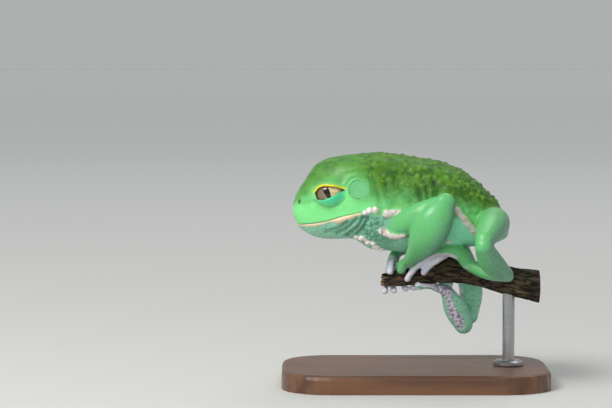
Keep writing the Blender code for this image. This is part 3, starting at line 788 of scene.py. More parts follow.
@dataclass(frozen=True)
class Perch:
    """The branch's centre line and radii, from the broken end to the sawn end."""

    route: tuple = (
        (-10.2, 0, 38.8), (-5, 0, 39.5), (1.6, 0, 41.0), (8.2, 0, 42.3), (14.9, 0, 41.7),
        (23, 0, 40.2), (31.4, 0, 38.6), (41, 0, 36.6),
    )
    radii: tuple = (2.5, 2.8, 3.5, 4.1, 4.0, 4.3, 4.8, 5.3)

    def around(self, x: float, turn: float, lift: float = 1.2) -> tuple[float, float, float]:
        """A point above the bark, turned in degrees from the top towards the far side."""
        rows = np.column_stack([[p[2] for p in self.route], self.radii])
        height, radius = curve_at([p[0] for p in self.route], rows, np.array([x]))[0]
        angle = math.radians(turn)
        out = radius + lift
        return (x, out * math.sin(angle), height + out * math.cos(angle))


PERCH = Perch()


def digit(route: Route, thick: float = 0.9, root: float = 1.15, tip: float = 1.1) -> Tube:
    """A finger or toe with two knuckles and a round pad, pale on the side that grips."""
    radii = (root, *[thick] * (len(route) - 2), tip)
    return Tube(route, radii, joints=(0.36, 0.68), pale=None, pale_from=-0.75)


def finger(x: float, turns: Sequence[tuple[float, float]], start: tuple) -> Tube:
    """A digit that starts at a point and lies round the branch at shifts of x and turns."""
    return digit([start, *[PERCH.around(x + shift, turn) for shift, turn in turns]])


LIMBS = {
    "upper_arm_left": [
        Tube([(-9.4, -8.5, 55.4), (-5.4, -12.6, 57.6), (0.6, -16.2, 61.6), (8.2, -18.2, 65.2)],
             (3.0, 3.8, 3.8, 3.0), pale=(0, -0.2, -1), pale_from=0.97)],
    "upper_arm_right": [
        Tube([(-9.4, 8.5, 55.4), (-5.8, 12.6, 57.4), (-0.2, 16.2, 60.8), (7.0, 18.0, 63.6)],
             (3.0, 3.8, 3.8, 3.0), pale=(0, 0.2, -1), pale_from=0.97)],
    "forearm_left": [
        Tube([(8.8, -18.8, 65.4), (6.8, -19.4, 61.8), (4.3, -18.8, 57.2), (2.0, -16.4, 52.6),
              (-0.2, -12.6, 48.9), (-1.8, -9.0, 46.5)],
             (3.4, 5.1, 6.0, 5.2, 3.4, 2.4), 0.74, (0, -1, 0), (0.3, 1, 0), 0.8)],
    "forearm_right": [
        Tube([(7.4, 18.6, 63.6), (4.8, 19.2, 60.4), (1.8, 18.4, 56.6), (-1.2, 15.6, 52.6),
              (-3.8, 11.8, 49.4), (-5.4, 9.0, 47.8)],
             (3.4, 5.0, 5.8, 5.2, 3.5, 2.3), 0.72, (0, 1, 0), (0.3, -1, 0), 0.8)],
    "hand_left": [
        Tube([(-1.9, -7.9, 45.7), (-3.1, -5.6, 45.0), (-4.0, -3.2, 44.3), (-4.3, -1.2, 43.9)],
             (2.1, 2.3, 2.2, 1.6), 0.66, (0, 0.5, 1), pale_from=0.9),
        Tube([(-2.8, -6.4, 45.4), (-4.0, -5.6, 44.3), (-4.8, -4.6, 42.6)],
             (1.5, 1.45, 1.5), pale=None, pale_from=0.8),
        finger(-5.8, ((0.0, 25), (0.0, 52), (0.0, 78)), (-4.9, -1.7, 43.9)),
        finger(-3.1, ((0.0, 25), (0.2, 62), (0.3, 100)), (-4.0, -1.8, 44.0)),
        finger(-0.8, ((0.0, 18), (0.8, 56), (1.2, 94)), (-3.2, -2.6, 44.4))],
    "hand_right": [
        Tube([(-5.9, 8.0, 47.1), (-6.8, 6.3, 45.2), (-7.5, 4.6, 43.5), (-8.0, 3.3, 42.2)],
             (2.1, 2.3, 2.2, 1.6), 0.66, (0, 1, 0.7)),
        Tube([(-6.9, 4.8, 44.8), (-7.2, 1.8, 46.0), (-7.8, -1.2, 44.9), (-8.3, -2.9, 42.0)],
             (1.25, 1.05, 1.05, 1.35), pale=(-0.3, -1, 0), pale_from=-0.3, joints=(0.36, 0.68)),
        finger(-9.7, ((0.0, 102), (-0.1, 140), (-0.2, 176)), (-8.4, 3.4, 42.0)),
        finger(-7.3, ((0.0, 106), (0.3, 144), (0.4, 180)), (-7.8, 3.8, 42.2)),
        finger(-4.8, ((0.0, 106), (1.1, 136), (1.7, 168)), (-7.0, 4.2, 42.6))],
    "thigh_left": [
        Tube([(25.0, -3.0, 58.0), (25.0, -11.0, 58.4), (23.4, -20.6, 57.4), (20.6, -30.4, 54.6)],
             (5.2, 5.3, 4.7, 3.1), pale=(-0.4, 0, -0.9), pale_from=0.8)],
    "thigh_right": [
        Tube([(25.0, 3.0, 58.0), (24.6, 10.4, 57.8), (21.4, 18.2, 55.0), (17.0, 24.6, 50.6)],
             (5.2, 5.3, 4.6, 3.1), pale=(-0.4, 0, -0.9), pale_from=0.8)],
    "shank_left": [
        Tube([(20.2, -31.8, 52.4), (22.4, -26.2, 48.0), (25.8, -19.6, 44.2),
              (29.0, -13.8, 41.8)], (2.9, 3.8, 3.5, 2.4), pale=(0.3, 0.8, 0.5), pale_from=0.75)],
    "shank_right": [
        Tube([(16.3, 25.4, 48.2), (18.2, 21.0, 41.8), (19.6, 14.6, 33.6), (18.8, 9.3, 26.0)],
             (2.9, 3.8, 3.9, 2.9), pale=(-1, -0.1, 0.3), pale_from=0.95)],
    "tarsus_left": [
        Tube([(29.2, -12.9, 41.4), (25.0, -12.2, 41.9), (20.8, -11.0, 42.9), (16.9, -9.3, 44.7)],
             (2.4, 2.6, 2.4, 2.1), 0.85, (0, 0, 1), (0, -0.1, -1), 0.9)],
    "tarsus_right": [
        Tube([(16.6, 6.0, 23.2), (14.8, 4.8, 26.9), (12.8, 3.4, 30.8), (11.3, 2.4, 33.7)],
             (3.1, 3.9, 3.6, 2.5), 0.66, (0, 1, 0), (-0.4, -1, -0.1), 0.78)],
    "foot_left": [
        Tube([(16.4, -9.4, 45.4), (14.6, -9.2, 48.2), (10.8, -8.8, 49.7), (7.0, -7.8, 48.9)],
             (2.2, 2.6, 2.6, 1.9), 0.9, (0, -0.5, 1), (0, -0.45, -1), 0.74),
        Tube([(7.6, -7.8, 49.0), (5.2, -7.0, 47.6), (2.4, -6.2, 45.6), (0.0, -5.6, 43.4),
              (-1.7, -5.2, 41.4), (-2.7, -4.4, 39.6)], (1.7, 1.5, 1.25, 1.0, 0.95, 1.15),
             pale=(-0.8, -0.5, -0.8), pale_from=0.05, joints=(0.3, 0.55, 0.78)),
        Tube([(9.6, -7.6, 47.8), (6.9, -7.1, 45.7), (4.5, -6.9, 44.0), (2.6, -6.2, 41.9)],
             (1.3, 0.9, 0.9, 1.15), pale=(0, -0.8, -0.5), pale_from=-0.5, joints=(0.4, 0.7)),
        finger(7.7, ((0.0, 10), (-0.4, 48), (-0.6, 86)), (8.8, -6.4, 48.6)),
        finger(11.0, ((0.0, 12), (-0.2, 52), (-0.2, 90)), (11.2, -6.8, 48.6)),
        finger(13.9, ((0.0, 4), (0.4, 42), (0.7, 80)), (13.4, -7.4, 48.0))],
    "foot_right": [
        Tube([(11.8, 2.5, 34.2), (9.6, 1.5, 35.4), (7.0, 0.7, 36.1)], (2.3, 2.3, 1.8), 0.7,
             (0, 0, 1), (0, -1, 0), 0.0),
        finger(5.2, ((0.0, -166), (-2.4, -150), (-4.4, -136)), (8.0, 0.2, 36.2)),
        finger(4.6, ((0.0, 176), (-2.6, 170), (-5.2, 166)), (7.4, 0.8, 36.1)),
        finger(5.6, ((0.0, 150), (-2.0, 132), (-3.4, 118)), (7.8, 1.5, 36.0)),
        finger(9.0, ((0.0, 138), (-0.3, 124), (-0.4, 114)), (9.4, 2.6, 35.7)),
        finger(12.2, ((0.0, 138), (0.5, 120), (0.7, 108)), (11.2, 3.4, 35.2))],
}


@dataclass(frozen=True)
class FaceMarks:
    """Places on the head and flank, as X and height unless the list says otherwise.

    Attributes:
        eye: Middle of the left or right eyeball, as X, Y and height.
        eye_radius: Radius of the eyeball, in which the depth of the lids' gap is measured.
        socket: Radius of the hollow behind the lids.
        lid: Radius of the lids' swelling.
        nostril_size: Half length, depth and half height of a nostril.
        lip_x: Places along X where the pale lip's width is given.
        lip_width: Its width at each.
        corner_beads: White beads behind the mouth, as X, height and radius.
        chest_beads: The same along the chest.
        arm_bars: White bars of the upper arms, as X, Y and height.
        belly_line: Upper edge of the belly's colour.
        wrinkle_window: Least and most X, least and most height, and softness of the edges of the
            flank's wrinkles; the other windows are of the same kind.
    """

    eye: tuple = (-28.4, 8.1, 67.9)
    eye_radius: float = 4.9
    socket: float = 5.2
    lid: float = 5.95
    upper_lid: tuple = ((-33.3, 68.3), (-32.0, 70.0), (-30.2, 70.7), (-27.6, 70.6), (-25.2, 70.1))
    lower_lid: tuple = ((-23.1, 69.3), (-25.6, 68.0), (-28.2, 66.7), (-30.6, 65.9), (-32.5, 66.1))
    ear: tuple = (-19.0, 69.4)
    ear_radius: float = 2.75
    nostril: tuple = (-38.2, 65.2)
    nostril_size: tuple = (0.55, 0.9, 0.42)
    mouth: tuple = (
        (-46.0, 57.2), (-38.2, 57.7), (-34.2, 58.1), (-28.8, 59.2), (-24.7, 60.5), (-19.8, 61.7),
        (-17.6, 62.1),
    )
    lip_x: tuple = (-39.5, -37.0, -34.6, -30.5, -28.6, -26.4, -25.2, -23.1, -20.9, -18.2, -17.4)
    lip_width: tuple = (0.5, 0.8, 1.1, 1.0, 0.35, 1.5, 2.0, 1.65, 1.3, 0.6, 0.1)
    snout_ridge: tuple = ((-38.8, 66.6), (-36.6, 68.2), (-34.2, 70.0))
    snout_hollow: tuple = ((-36.8, 64.8), (-34.8, 65.4))
    lid_crease: tuple = ((-33.2, 65.6), (-31.0, 64.3), (-28.1, 63.7), (-25.4, 64.6), (-23.2, 66.6))
    temple_fold: tuple = (
        (-23.4, 71.2), (-22.2, 73.0), (-20.0, 74.0), (-17.4, 73.6), (-15.6, 71.8), (-15.2, 69.4),
        (-15.0, 66.4),
    )
    back_fold: tuple = ((-22.0, 75.6), (-17.0, 76.6), (-12.0, 76.4), (-7.0, 74.9))
    throat_folds: tuple = (
        ((-17.4, 60.6), (-19.0, 57.6), (-22.6, 54.4)),
        ((-16.0, 60.4), (-17.2, 57.4), (-19.8, 54.6)),
        ((-19.6, 60.0), (-22.0, 57.4), (-26.0, 55.0)),
        ((-22.6, 59.0), (-25.6, 56.8), (-29.6, 55.4)),
    )
    corner_beads: tuple = ((-16.8, 62.0, 0.85), (-15.4, 62.6, 1.15), (-13.5, 62.8, 1.2))
    chest_beads: tuple = (
        (-19.4, 53.9, 0.85), (-17.6, 53.6, 1.1), (-15.6, 52.3, 1.05), (-14.0, 51.9, 0.9),
        (-13.2, 50.7, 1.15), (-11.5, 49.8, 0.95), (-16.5, 53.1, 0.7), (-12.3, 50.4, 0.75),
        (10.3, 52.6, 0.85),
    )
    bean: tuple = ((-10.1, 61.6), (-7.4, 62.0), (-3.6, 63.2))
    flank_bar: tuple = ((12.6, 63.0), (15.2, 59.8), (19.2, 55.4))
    arm_bars: tuple = (
        ((-10.8, -11.6, 56.0), (-7.4, -13.9, 54.7), (-4.4, -15.3, 54.0)),
        ((-10.8, 11.6, 56.0), (-7.4, 13.8, 54.5), (-4.2, 15.6, 53.6)),
    )
    elbow_folds: tuple = (
        ((11.6, 67.6), (13.4, 65.4), (14.6, 62.4)),
        ((13.2, 68.0), (15.4, 65.6), (16.8, 62.8)),
        ((9.6, 70.0), (13.0, 69.6), (16.6, 67.4)),
    )
    belly_line: tuple = (
        (-40, 57.6), (-30, 58.6), (-20, 61.2), (-17, 61.6), (-15, 61.8), (-8, 60.0), (0, 58.5),
        (8, 60.5), (14, 60.2), (20, 55.0), (28, 53.0),
    )
    wrinkle_window: tuple = (-14.0, 7.0, 64.0, 73.5, 2.6)
    pebble_window: tuple = (-16.0, 14.0, 62.5, 76.0, 2.0)
    lump_window: tuple = (4.0, 28.0, 58.0, 75.0, 3.0)
    net_window: tuple = (-17.5, -10.0, 52.5, 60.5, 1.2)
    throat_window: tuple = (-24.0, -9.0, 52.0, 61.5, 1.5)
    chest_window: tuple = (-19.0, -7.0, 50.0, 62.0, 3.0)
    groin_window: tuple = (9.0, 26.0, 46.0, 64.0, 2.0)

    @property
    def fold_lines(self) -> tuple:
        """Each fold's line, its height, which is below 0 for a groove, and its half width."""
        return (
            (self.temple_fold, 0.42, 0.65),
            (self.back_fold, 0.35, 0.9),
            *((line, -0.65, 0.5) for line in self.throat_folds),
            *((line, 0.45, 0.6) for line in self.elbow_folds),
            (self.lid_crease, -0.3, 0.4),
            (self.snout_ridge, 0.4, 0.9),
            (self.snout_hollow, -0.3, 1.4),
        )


FACE = FaceMarks()


# Finishes


def srgb(red: int, green: int, blue: int) -> tuple[float, float, float]:
    """A linear colour from screen values of 0 to 255."""
    return tuple(
        c / 12.92 if c <= 0.04045 else ((c + 0.055) / 1.055) ** 2.4
        for c in (red / 255, green / 255, blue / 255)
    )


@dataclass(frozen=True)
class SkinFinish:
    """Waxy frog skin: dark yellow-green back, leaf green sides, teal belly, lilac soles."""

    back: tuple = srgb(46, 96, 16)
    back_warm: tuple = srgb(74, 128, 22)
    # Painted highlight on the warts' tops, and painted shade in the back's grooves.
    back_wart_highlight: tuple = srgb(138, 196, 58)
    back_painted_shade: tuple = srgb(30, 70, 16)
    # Painted light: a lighter green for the head, which the key light from the left front lights
    # most.
    face: tuple = srgb(124, 222, 134)
    side: tuple = srgb(108, 190, 98)
    side_cool: tuple = srgb(104, 190, 120)
    side_deep: tuple = srgb(66, 158, 82)
    limb: tuple = srgb(94, 176, 116)
    belly: tuple = srgb(132, 200, 168)
    belly_light: tuple = srgb(170, 228, 200)
    chest: tuple = srgb(84, 148, 120)
    groin: tuple = srgb(142, 236, 192)
    pale: tuple = srgb(214, 210, 224)
    pale_blotch: tuple = srgb(112, 106, 128)
    lid: tuple = srgb(78, 212, 154)
    gold: tuple = srgb(214, 212, 36)
    lip: tuple = srgb(230, 208, 172)
    white: tuple = srgb(234, 226, 222)
    rose: tuple = srgb(208, 188, 178)
    drum: tuple = srgb(102, 188, 124)
    # Painted shade: a dark green multiplied in where the skin's shade mask says.
    hollow: tuple = (0.28, 0.36, 0.3)
    # Brown at the eye socket's rim and in the nostril: partly their own brown, partly painted
    # shade in these pits.
    socket: tuple = srgb(104, 80, 58)

    def material(self, name: str) -> bpy.types.Material:
        """Blend the colours by the masks that the skin carries.

        Args:
            name: The material's name.

        Returns:
            The material; granules and fine pores come from a Bump node.
        """
        kit = Kit(name)
        clouds = kit.clouds(420.0)
        fine = kit.clouds(2600.0, 2.0)
        grain = kit.grains(1500.0)
        side = kit.mix(clouds.rise(0.35, 0.7), self.side, self.side_cool)
        # Painted light: the head's green is lighter than the flank's.
        side = kit.layers(side, face=self.face)
        side = kit.mix(kit.mask("limb") * 0.6, side, self.limb)
        speckle = grain.rise(0.35, 0.75) * kit.clouds(260.0).rise(0.35, 0.6)
        side = kit.mix(0.18 * speckle, side, self.side_deep)
        back = kit.mix(clouds.rise(0.35, 0.6), self.back, self.back_warm)
        # The back's grooves take painted shade and the warts' tops a painted highlight.
        back = kit.layers(back, hollow=self.back_painted_shade, wart=self.back_wart_highlight)
        belly = kit.mix(grain.rise(0.7, 0.1), self.belly, self.belly_light)
        belly = kit.layers(belly, chest=self.chest, groin=self.groin)
        blotch = kit.clouds(1000.0, 5.0).rise(0.46, 0.6) * (0.1 + 0.75 * kit.mask("blotch"))
        pale = kit.mix(blotch, self.pale, self.pale_blotch)
        white = kit.mix(kit.clouds(700.0).rise(0.45, 0.65), self.white, self.rose)
        colour = kit.layers(
            side, back=back, belly=belly, drum=self.drum, lid=self.lid, gold=self.gold,
            pale=pale, lip=self.lip, white=white,
        )
        # Painted shade over the folds, the ear's seam, the nostril, the limbs' rear sides and
        # their joins.
        colour = kit.mix(kit.mask("hollow") * 0.8, colour, self.hollow, "MULTIPLY")
        # Brown at the eye socket's rim and the nostril, partly painted shade in these pits.
        colour = kit.layers(colour, socket=self.socket)
        rough = 0.38 + 0.14 * kit.mask("back") + 0.16 * kit.mask("belly") + 0.1 * (fine - 0.5)
        dome = 1 - grain
        height = dome * (0.26 + 0.74 * kit.mask("grain")) + 0.35 * fine
        return kit.surface(
            Base_Color=colour, Roughness=rough, Normal=kit.bump(height, 0.00016, 0.8),
            Subsurface_Weight=0.1, Subsurface_Scale=0.001, Specular_IOR_Level=0.38,
            Coat_Weight=0.17 - 0.13 * kit.mask("back"), Coat_Roughness=0.24,
        )


@dataclass(frozen=True)
class GlandFinish:
    """Smooth raised glands, from bone white to rose."""

    light: tuple = srgb(234, 228, 226)
    rose: tuple = srgb(208, 188, 178)

    def material(self, name: str) -> bpy.types.Material:
        """Mix the two whites in soft clouds, with a waxy coat."""
        kit = Kit(name)
        colour = kit.mix(kit.clouds(900.0).rise(0.4, 0.65), self.light, self.rose)
        height = kit.clouds(2400.0, 2.0)
        return kit.surface(
            Base_Color=colour, Roughness=0.34, Normal=kit.bump(height, 0.00006, 0.5),
            Subsurface_Weight=0.15, Subsurface_Scale=0.001, Coat_Weight=0.2, Coat_Roughness=0.2,
        )


@dataclass(frozen=True)
class PlainFinish:
    """A thin trim of one hue with soft clouds in it."""

    colour: tuple
    second: tuple
    rough: float = 0.4

    def material(self, name: str) -> bpy.types.Material:
        """Mix the two colours in soft clouds."""
        kit = Kit(name)
        colour = kit.mix(kit.clouds(1300.0).rise(0.35, 0.65), self.colour, self.second)
        return kit.surface(Base_Color=colour, Roughness=self.rough, Coat_Weight=0.2)


@dataclass(frozen=True)
class EyeFinish:
    """Iris of tan and silver grey with a black upright pupil, under a clear wet coat."""

    front: tuple = srgb(124, 108, 84)
    back: tuple = srgb(222, 200, 154)
    vein: tuple = srgb(74, 52, 42)
    pupil: tuple = srgb(6, 6, 8)
    outer: tuple = srgb(40, 34, 28)

    def material(self, name: str) -> bpy.types.Material:
        """Blend by the masks on the eyeball: front to back, streaks, rim and pupil."""
        kit = Kit(name)
        colour = kit.layers(self.front, rear=self.back)
        colour = kit.mix(kit.mask("streak") * 0.5, colour, self.vein)
        colour = kit.layers(colour, outer=self.outer, pupil=self.pupil)
        return kit.surface(
            Base_Color=colour, Roughness=0.2, Coat_Weight=1.0, Coat_Roughness=0.02,
            Specular_IOR_Level=0.2,
        )


@dataclass(frozen=True)
class BarkFinish:
    """Weathered dark bark with olive film, pale scuffs and raw torn wood at the stub."""

    bark: tuple = srgb(78, 66, 54)
    dark: tuple = srgb(24, 18, 14)
    olive: tuple = srgb(88, 80, 58)
    rust: tuple = srgb(98, 66, 46)
    scuff: tuple = srgb(150, 134, 104)
    heart: tuple = srgb(176, 140, 96)

    def material(self, name: str) -> bpy.types.Material:
        """Bark by noise stretched along the branch, and cut wood where the mask says."""
        kit = Kit(name)
        along = kit.stretched((0.28, 1.0, 1.0))
        rough_noise = kit.clouds(900.0, 6.0, along)
        patches = kit.clouds(160.0, 3.0)
        colour = kit.mix(patches.rise(0.42, 0.6), self.bark, self.olive)
        colour = kit.mix(kit.clouds(330.0, 4.0).rise(0.55, 0.7), colour, self.rust)
        colour = kit.mix(rough_noise.rise(0.6, 0.38), colour, self.dark)
        colour = kit.mix(rough_noise.rise(0.66, 0.78) * 0.7, colour, self.scuff)
        wood = kit.layers(self.heart, ring=self.rust)
        colour = kit.layers(colour, crack=self.dark, cut=wood)
        height = rough_noise + 0.4 * kit.clouds(3000.0, 3.0, along)
        return kit.surface(
            Base_Color=colour, Roughness=0.86 + 0.1 * (rough_noise - 0.5),
            Normal=kit.bump(height, 0.0004, 0.9), Specular_IOR_Level=0.3,
        )


@dataclass(frozen=True)
class WalnutFinish:
    """Oiled walnut with grain along X."""

    light: tuple = srgb(122, 82, 54)
    dark: tuple = srgb(70, 43, 27)
    pore: tuple = (0.45, 0.38, 0.34)

    def material(self, name: str) -> bpy.types.Material:
        """Long rings bent by noise, with fine pores."""
        kit = Kit(name)
        long_way = kit.stretched((0.12, 1.0, 1.0))
        bend = kit.clouds(45.0, 2.0, long_way)
        lines = kit.node(
            "ShaderNodeTexWave",
            {"wave_type": "BANDS", "bands_direction": "Y"},
            {"Vector": long_way, "Scale": 60.0, "Distortion": 9.0, "Detail": 3.0,
             "Detail Scale": 1.4},
            out="Fac",
        )
        pores = kit.clouds(1500.0, 3.0, kit.stretched((0.05, 1.0, 1.0)))
        colour = kit.mix(lines * 0.55 + bend * 0.45, self.dark, self.light)
        colour = kit.mix(pores.rise(0.6, 0.72) * 0.6, colour, self.pore, "MULTIPLY")
        return kit.surface(
            Base_Color=colour, Roughness=0.34 + 0.16 * pores,
            Normal=kit.bump(pores, 0.00008, 0.5), Coat_Weight=0.25, Coat_Roughness=0.25,
        )


@dataclass(frozen=True)
class SteelFinish:
    """Turned and brushed stainless steel."""

    light: tuple = srgb(196, 197, 200)
    dark: tuple = srgb(150, 151, 154)

    def material(self, name: str) -> bpy.types.Material:
        """Fine rings round the rod's axis."""
        kit = Kit(name)
        rings = kit.clouds(9000.0, 2.0, kit.stretched((0.02, 0.02, 1.0)))
        return kit.surface(
            Base_Color=kit.mix(rings, self.dark, self.light), Metallic=1.0,
            Roughness=0.24 + 0.16 * rings, Normal=kit.bump(rings, 0.00002, 0.4),
        )


# Parts of the frog


class MarkSet:
    """Distances from the skin's vertices to the limbs and marks, worked out once."""

    def __init__(self, points: Array):
        """Measure the points against body and limbs.

        Args:
            points: The skin's vertices in millimetres.
        """
        self.points = points
        self.side = points[:, [0, 2]]
        self.up, self.away = BODY.share(points)
        self.eye_gap = self.gap_to(FACE.eye)
        off = smooth_step(0.6, 1.6, self.away) * smooth_step(6.4, 7.2, self.eye_gap)
        behind = smooth_step(-24.0, -20.0, points[:, 0])
        self.limb = off * behind
        self.body = 1 - self.limb

    def gap_to(self, spot: tuple) -> Array:
        """Distance to a spot on the nearer side of the frog."""
        mirrored = self.points * (1, -1, 1)
        spot = np.array(spot)
        return np.minimum(
            np.linalg.norm(self.points - spot, axis=1), np.linalg.norm(mirrored - spot, axis=1)
        )

    def flank_spot(self, place: tuple[float, float]) -> tuple:
        """The spot of the right flank at an X and height."""
        return tuple(BODY.flank(*place, Side.RIGHT))

    def to_line(self, line: Sequence[tuple[float, float]], reach: float = 3.0) -> Array:
        """Distance in the side view to a line, on vertices near it; FAR elsewhere."""
        near = in_box(self.side, line, reach) & (self.body > 0.02)
        found = np.full(len(self.points), FAR)
        found[near] = line_distance(self.side[near], line)[0]
        return found

    def window(self, x0: float, x1: float, z0: float, z1: float, soft: float = 1.5) -> Array:
        """A soft box in the side view, on the body."""
        x, z = self.side.T
        return (
            smooth_step(x0 - soft, x0 + soft, x) * smooth_step(x1 + soft, x1 - soft, x)
            * smooth_step(z0 - soft, z0 + soft, z) * smooth_step(z1 + soft, z1 - soft, z)
            * self.body
        )

    def pale_side(self, samples: int = 60, soft: float = 0.1) -> Array:
        """How far each vertex lies on the pale side of its own limb or digit.

        Args:
            samples: Points of each bone line that the vertices are measured against.
            soft: Half width of the edge between the pale side and the green one.

        Returns:
            The mean of the tubes' shares weighted by exp(-4 gap to the tube's skin); a share
            rises with the turn towards the tube's pale direction, which may be the branch's.
        """
        total = np.zeros(len(self.points))
        weight = np.full(len(self.points), 1e-6)
        close = np.zeros(len(self.points))
        for tubes in LIMBS.values():
            for tube in tubes:
                near = in_box(self.points, tube.route, max(tube.radii) + 1.5)
                spots = self.points[near]
                gap, place = line_distance(spots, tube.route)
                rows = tube.line(samples)
                here = place * (samples - 1)
                left = np.minimum(here.astype(int), samples - 2)
                row = rows[left] + (here - left)[:, None] * (rows[left + 1] - rows[left])
                way = spots - row[:, :3]
                way /= np.maximum(np.linalg.norm(way, axis=1), 1e-6)[:, None]
                facing = np.sum(way * tube.pale_way(row[:, :3]), axis=1)
                facing += 0.1 * noise(spots, 1.4, 23)
                gap -= row[:, 3]
                pull = np.exp(-4.0 * np.clip(gap, -1.5, 3.0))
                share = smooth_step(tube.pale_from - soft, tube.pale_from + soft, facing)
                total[near] += pull * share
                weight[near] += pull
                close[near] = np.maximum(close[near], smooth_step(1.4, 0.6, gap))
        return total / weight * close


@dataclass
class Skin:
    """One skin without seams over head, torso, limbs and digits.

    Attributes:
        voxel: Edge of the voxels that fuse the forms, in millimetres.
        smoothing: Rounds of smoothing after that.
        brow_smoothing: Rounds of smoothing round the lids' swellings.
        wart_count: Warts tried on the back.
        wart_seed: Seed of their places.
        wart_places: Where they start and end along X.
        wart_spread: Mean and deviation of their angle from the spine.
        wart_size: Least radius, how much larger they get, and how rare large ones are.
        wart_floor: Least height of a wart.
        slit_width: Width of the gap between the lips.
        nodes: The solids that the skin stands for.
    """

    voxel: float = 0.43
    smoothing: int = 3
    brow_smoothing: int = 40
    wart_count: int = 900
    wart_seed: int = 11
    wart_places: tuple = (-19.0, 29.0)
    wart_spread: tuple = (0.62, 0.42)
    wart_size: tuple = (0.5, 1.15, 2.2)
    wart_floor: float = 58.0
    slit_width: float = 0.24
    nodes: tuple[str, ...] = (
        "head", "lower_jaw", "torso", "thigh_left", "thigh_right", "shank_left", "shank_right",
        "tarsus_left", "tarsus_right", "upper_arm_left", "upper_arm_right", "forearm_left",
        "forearm_right", "foot_left", "foot_right", "hand_left", "hand_right",
    )

    def build(self) -> bpy.types.Object:
        """Fuse the forms, raise the relief, open eyes and mouth, and write the masks.

        Returns:
            The skin's object.
        """
        parts = [BODY.surface()]
        for side in Side:
            eye = np.array(FACE.eye) * (1, side.value, 1)
            parts.append(ellipsoid(eye, (FACE.lid + 0.3, FACE.lid, FACE.lid), 64, 40))
        parts += [tube.surface() for tubes in LIMBS.values() for tube in tubes]
        obj = Surface.joined(parts).piece("frog_skin")
        fuse(obj, self.voxel)
        relax(obj, self.smoothing)
        self.soften_brow(obj)
        self.raise_relief(obj)
        self.open_face(obj)
        self.write_masks(obj)
        return obj

    def soften_brow(self, obj: bpy.types.Object) -> None:
        """Blend the lids' swellings into the head, most where they meet it."""
        marks = MarkSet(mesh_points(obj))
        ring = smooth_step(5.6, 6.2, marks.eye_gap) * smooth_step(10.0, 7.5, marks.eye_gap)
        above = smooth_step(-0.5, 2.0, marks.points[:, 2] - FACE.eye[2])
        relax(obj, self.brow_smoothing, 0.5 * ring * (0.25 + 0.75 * above))

    def raise_relief(self, obj: bpy.types.Object) -> None:
        """Move the vertices along their normals by the sum of warts, folds and lips."""
        points = mesh_points(obj)
        normals = mesh_normals(obj)
        marks = MarkSet(points)
        height = self.warts(marks)[0] + self.folds(marks) + self.lips(marks) + self.drums(marks)
        height += self.bars(marks)[0]
        height += 0.05 * noise(points, 2.2, 3) * smooth_step(6.0, 7.5, marks.eye_gap)
        set_points(obj, points + normals * height[:, None])
        relax(obj, 1, 0.3)

    def warts(self, marks: MarkSet) -> tuple[Array, Array]:
        """Scattered domes over the back and upper flanks.

        Args:
            marks: The measured vertices.

        Returns:
            The height, radius * 0.5 * (1 - (d / radius)^2)^2 for the distance d from each
            wart's centre, and how near to a wart's top each vertex is.
        """
        draw = np.random.default_rng(self.wart_seed)
        xs = draw.uniform(*self.wart_places, self.wart_count)
        spread = np.abs(draw.normal(*self.wart_spread, self.wart_count))
        turns = spread * draw.choice((-1, 1), self.wart_count)
        least, more, rarity = self.wart_size
        sizes = least + more * draw.uniform(0, 1, self.wart_count) ** rarity
        sizes *= 0.62 + 0.38 * smooth_step(-18.0, -4.0, xs)
        sizes *= 1 - 0.45 * smooth_step(1.0, 1.5, spread)
        centres = BODY.point(xs, turns)
        height = np.zeros(len(marks.points))
        top = np.zeros(len(marks.points))
        placed: list[tuple[Array, float]] = []
        index = np.flatnonzero(marks.up > -0.3)
        spots = marks.points[index]
        shift = [0.4 * noise(spots, 1.1, 61 + k) for k in range(3)]
        spots = spots + np.stack(shift, axis=1)
        tones = draw.uniform(0.35, 1.0, (3, self.wart_count))
        for centre, radius, (tone, long, tall) in zip(centres, sizes, tones.T):
            crowd = any(np.linalg.norm(centre - c) < 0.75 * (radius + r) for c, r in placed)
            if crowd or centre[2] < self.wart_floor:
                continue
            placed.append((centre, radius))
            near = np.flatnonzero(np.abs(spots[:, 0] - centre[0]) < 1.4 * radius)
            squash = (0.75 + 0.5 * long, 1, 0.75 + 0.5 * tall)
            gap = np.linalg.norm((spots[near] - centre) * squash, axis=1) / radius
            dome = np.clip(1 - gap**2, 0, None) ** 2
            where = index[near]
            height[where] = np.maximum(height[where], 0.5 * radius * dome)
            top[where] = np.maximum(top[where], tone * dome * min(radius, 1.2))
        return height * marks.body, top * marks.body

    def folds(self, marks: MarkSet) -> Array:
        """Wrinkles of the flank, folds of temple, back, throat and elbow, and granules.

        Args:
            marks: The measured vertices.

        Returns:
            The sum of ridges and grooves, each a bell across its line or a pattern in a window.
        """
        p, x = marks.points, marks.points[:, 0]
        phase = x + 0.3 * (p[:, 2] - 69.0) + 2.2 * noise(p, 5.0, 5)
        swell = (0.5 + 0.5 * np.sin(2 * math.pi * phase / 3.9)) ** 1.2
        share = 0.55 + 0.45 * noise(p, 4.0, 15)
        height = 1.2 * (swell - 0.5) * share * marks.window(*FACE.wrinkle_window)
        pebble = cells(p, 1.35, 14)[0]
        height += 0.22 * (0.5 - pebble) * marks.window(*FACE.pebble_window)
        lump = 1 - cells(p, 1.9, 4)[0]
        height += 0.5 * (lump - 0.4) * marks.window(*FACE.lump_window)
        height += 0.16 * (plateaus(p, 0.95, 9, 0.4) - 0.6) * self.belly_mask(marks)
        net = marks.window(*FACE.net_window)
        height += 0.45 * (plateaus(p, 1.5, 21, 0.45) - 0.6) * net
        for line, rise, width in FACE.fold_lines:
            height += rise * bell(marks.to_line(line), width)
        return height * marks.body

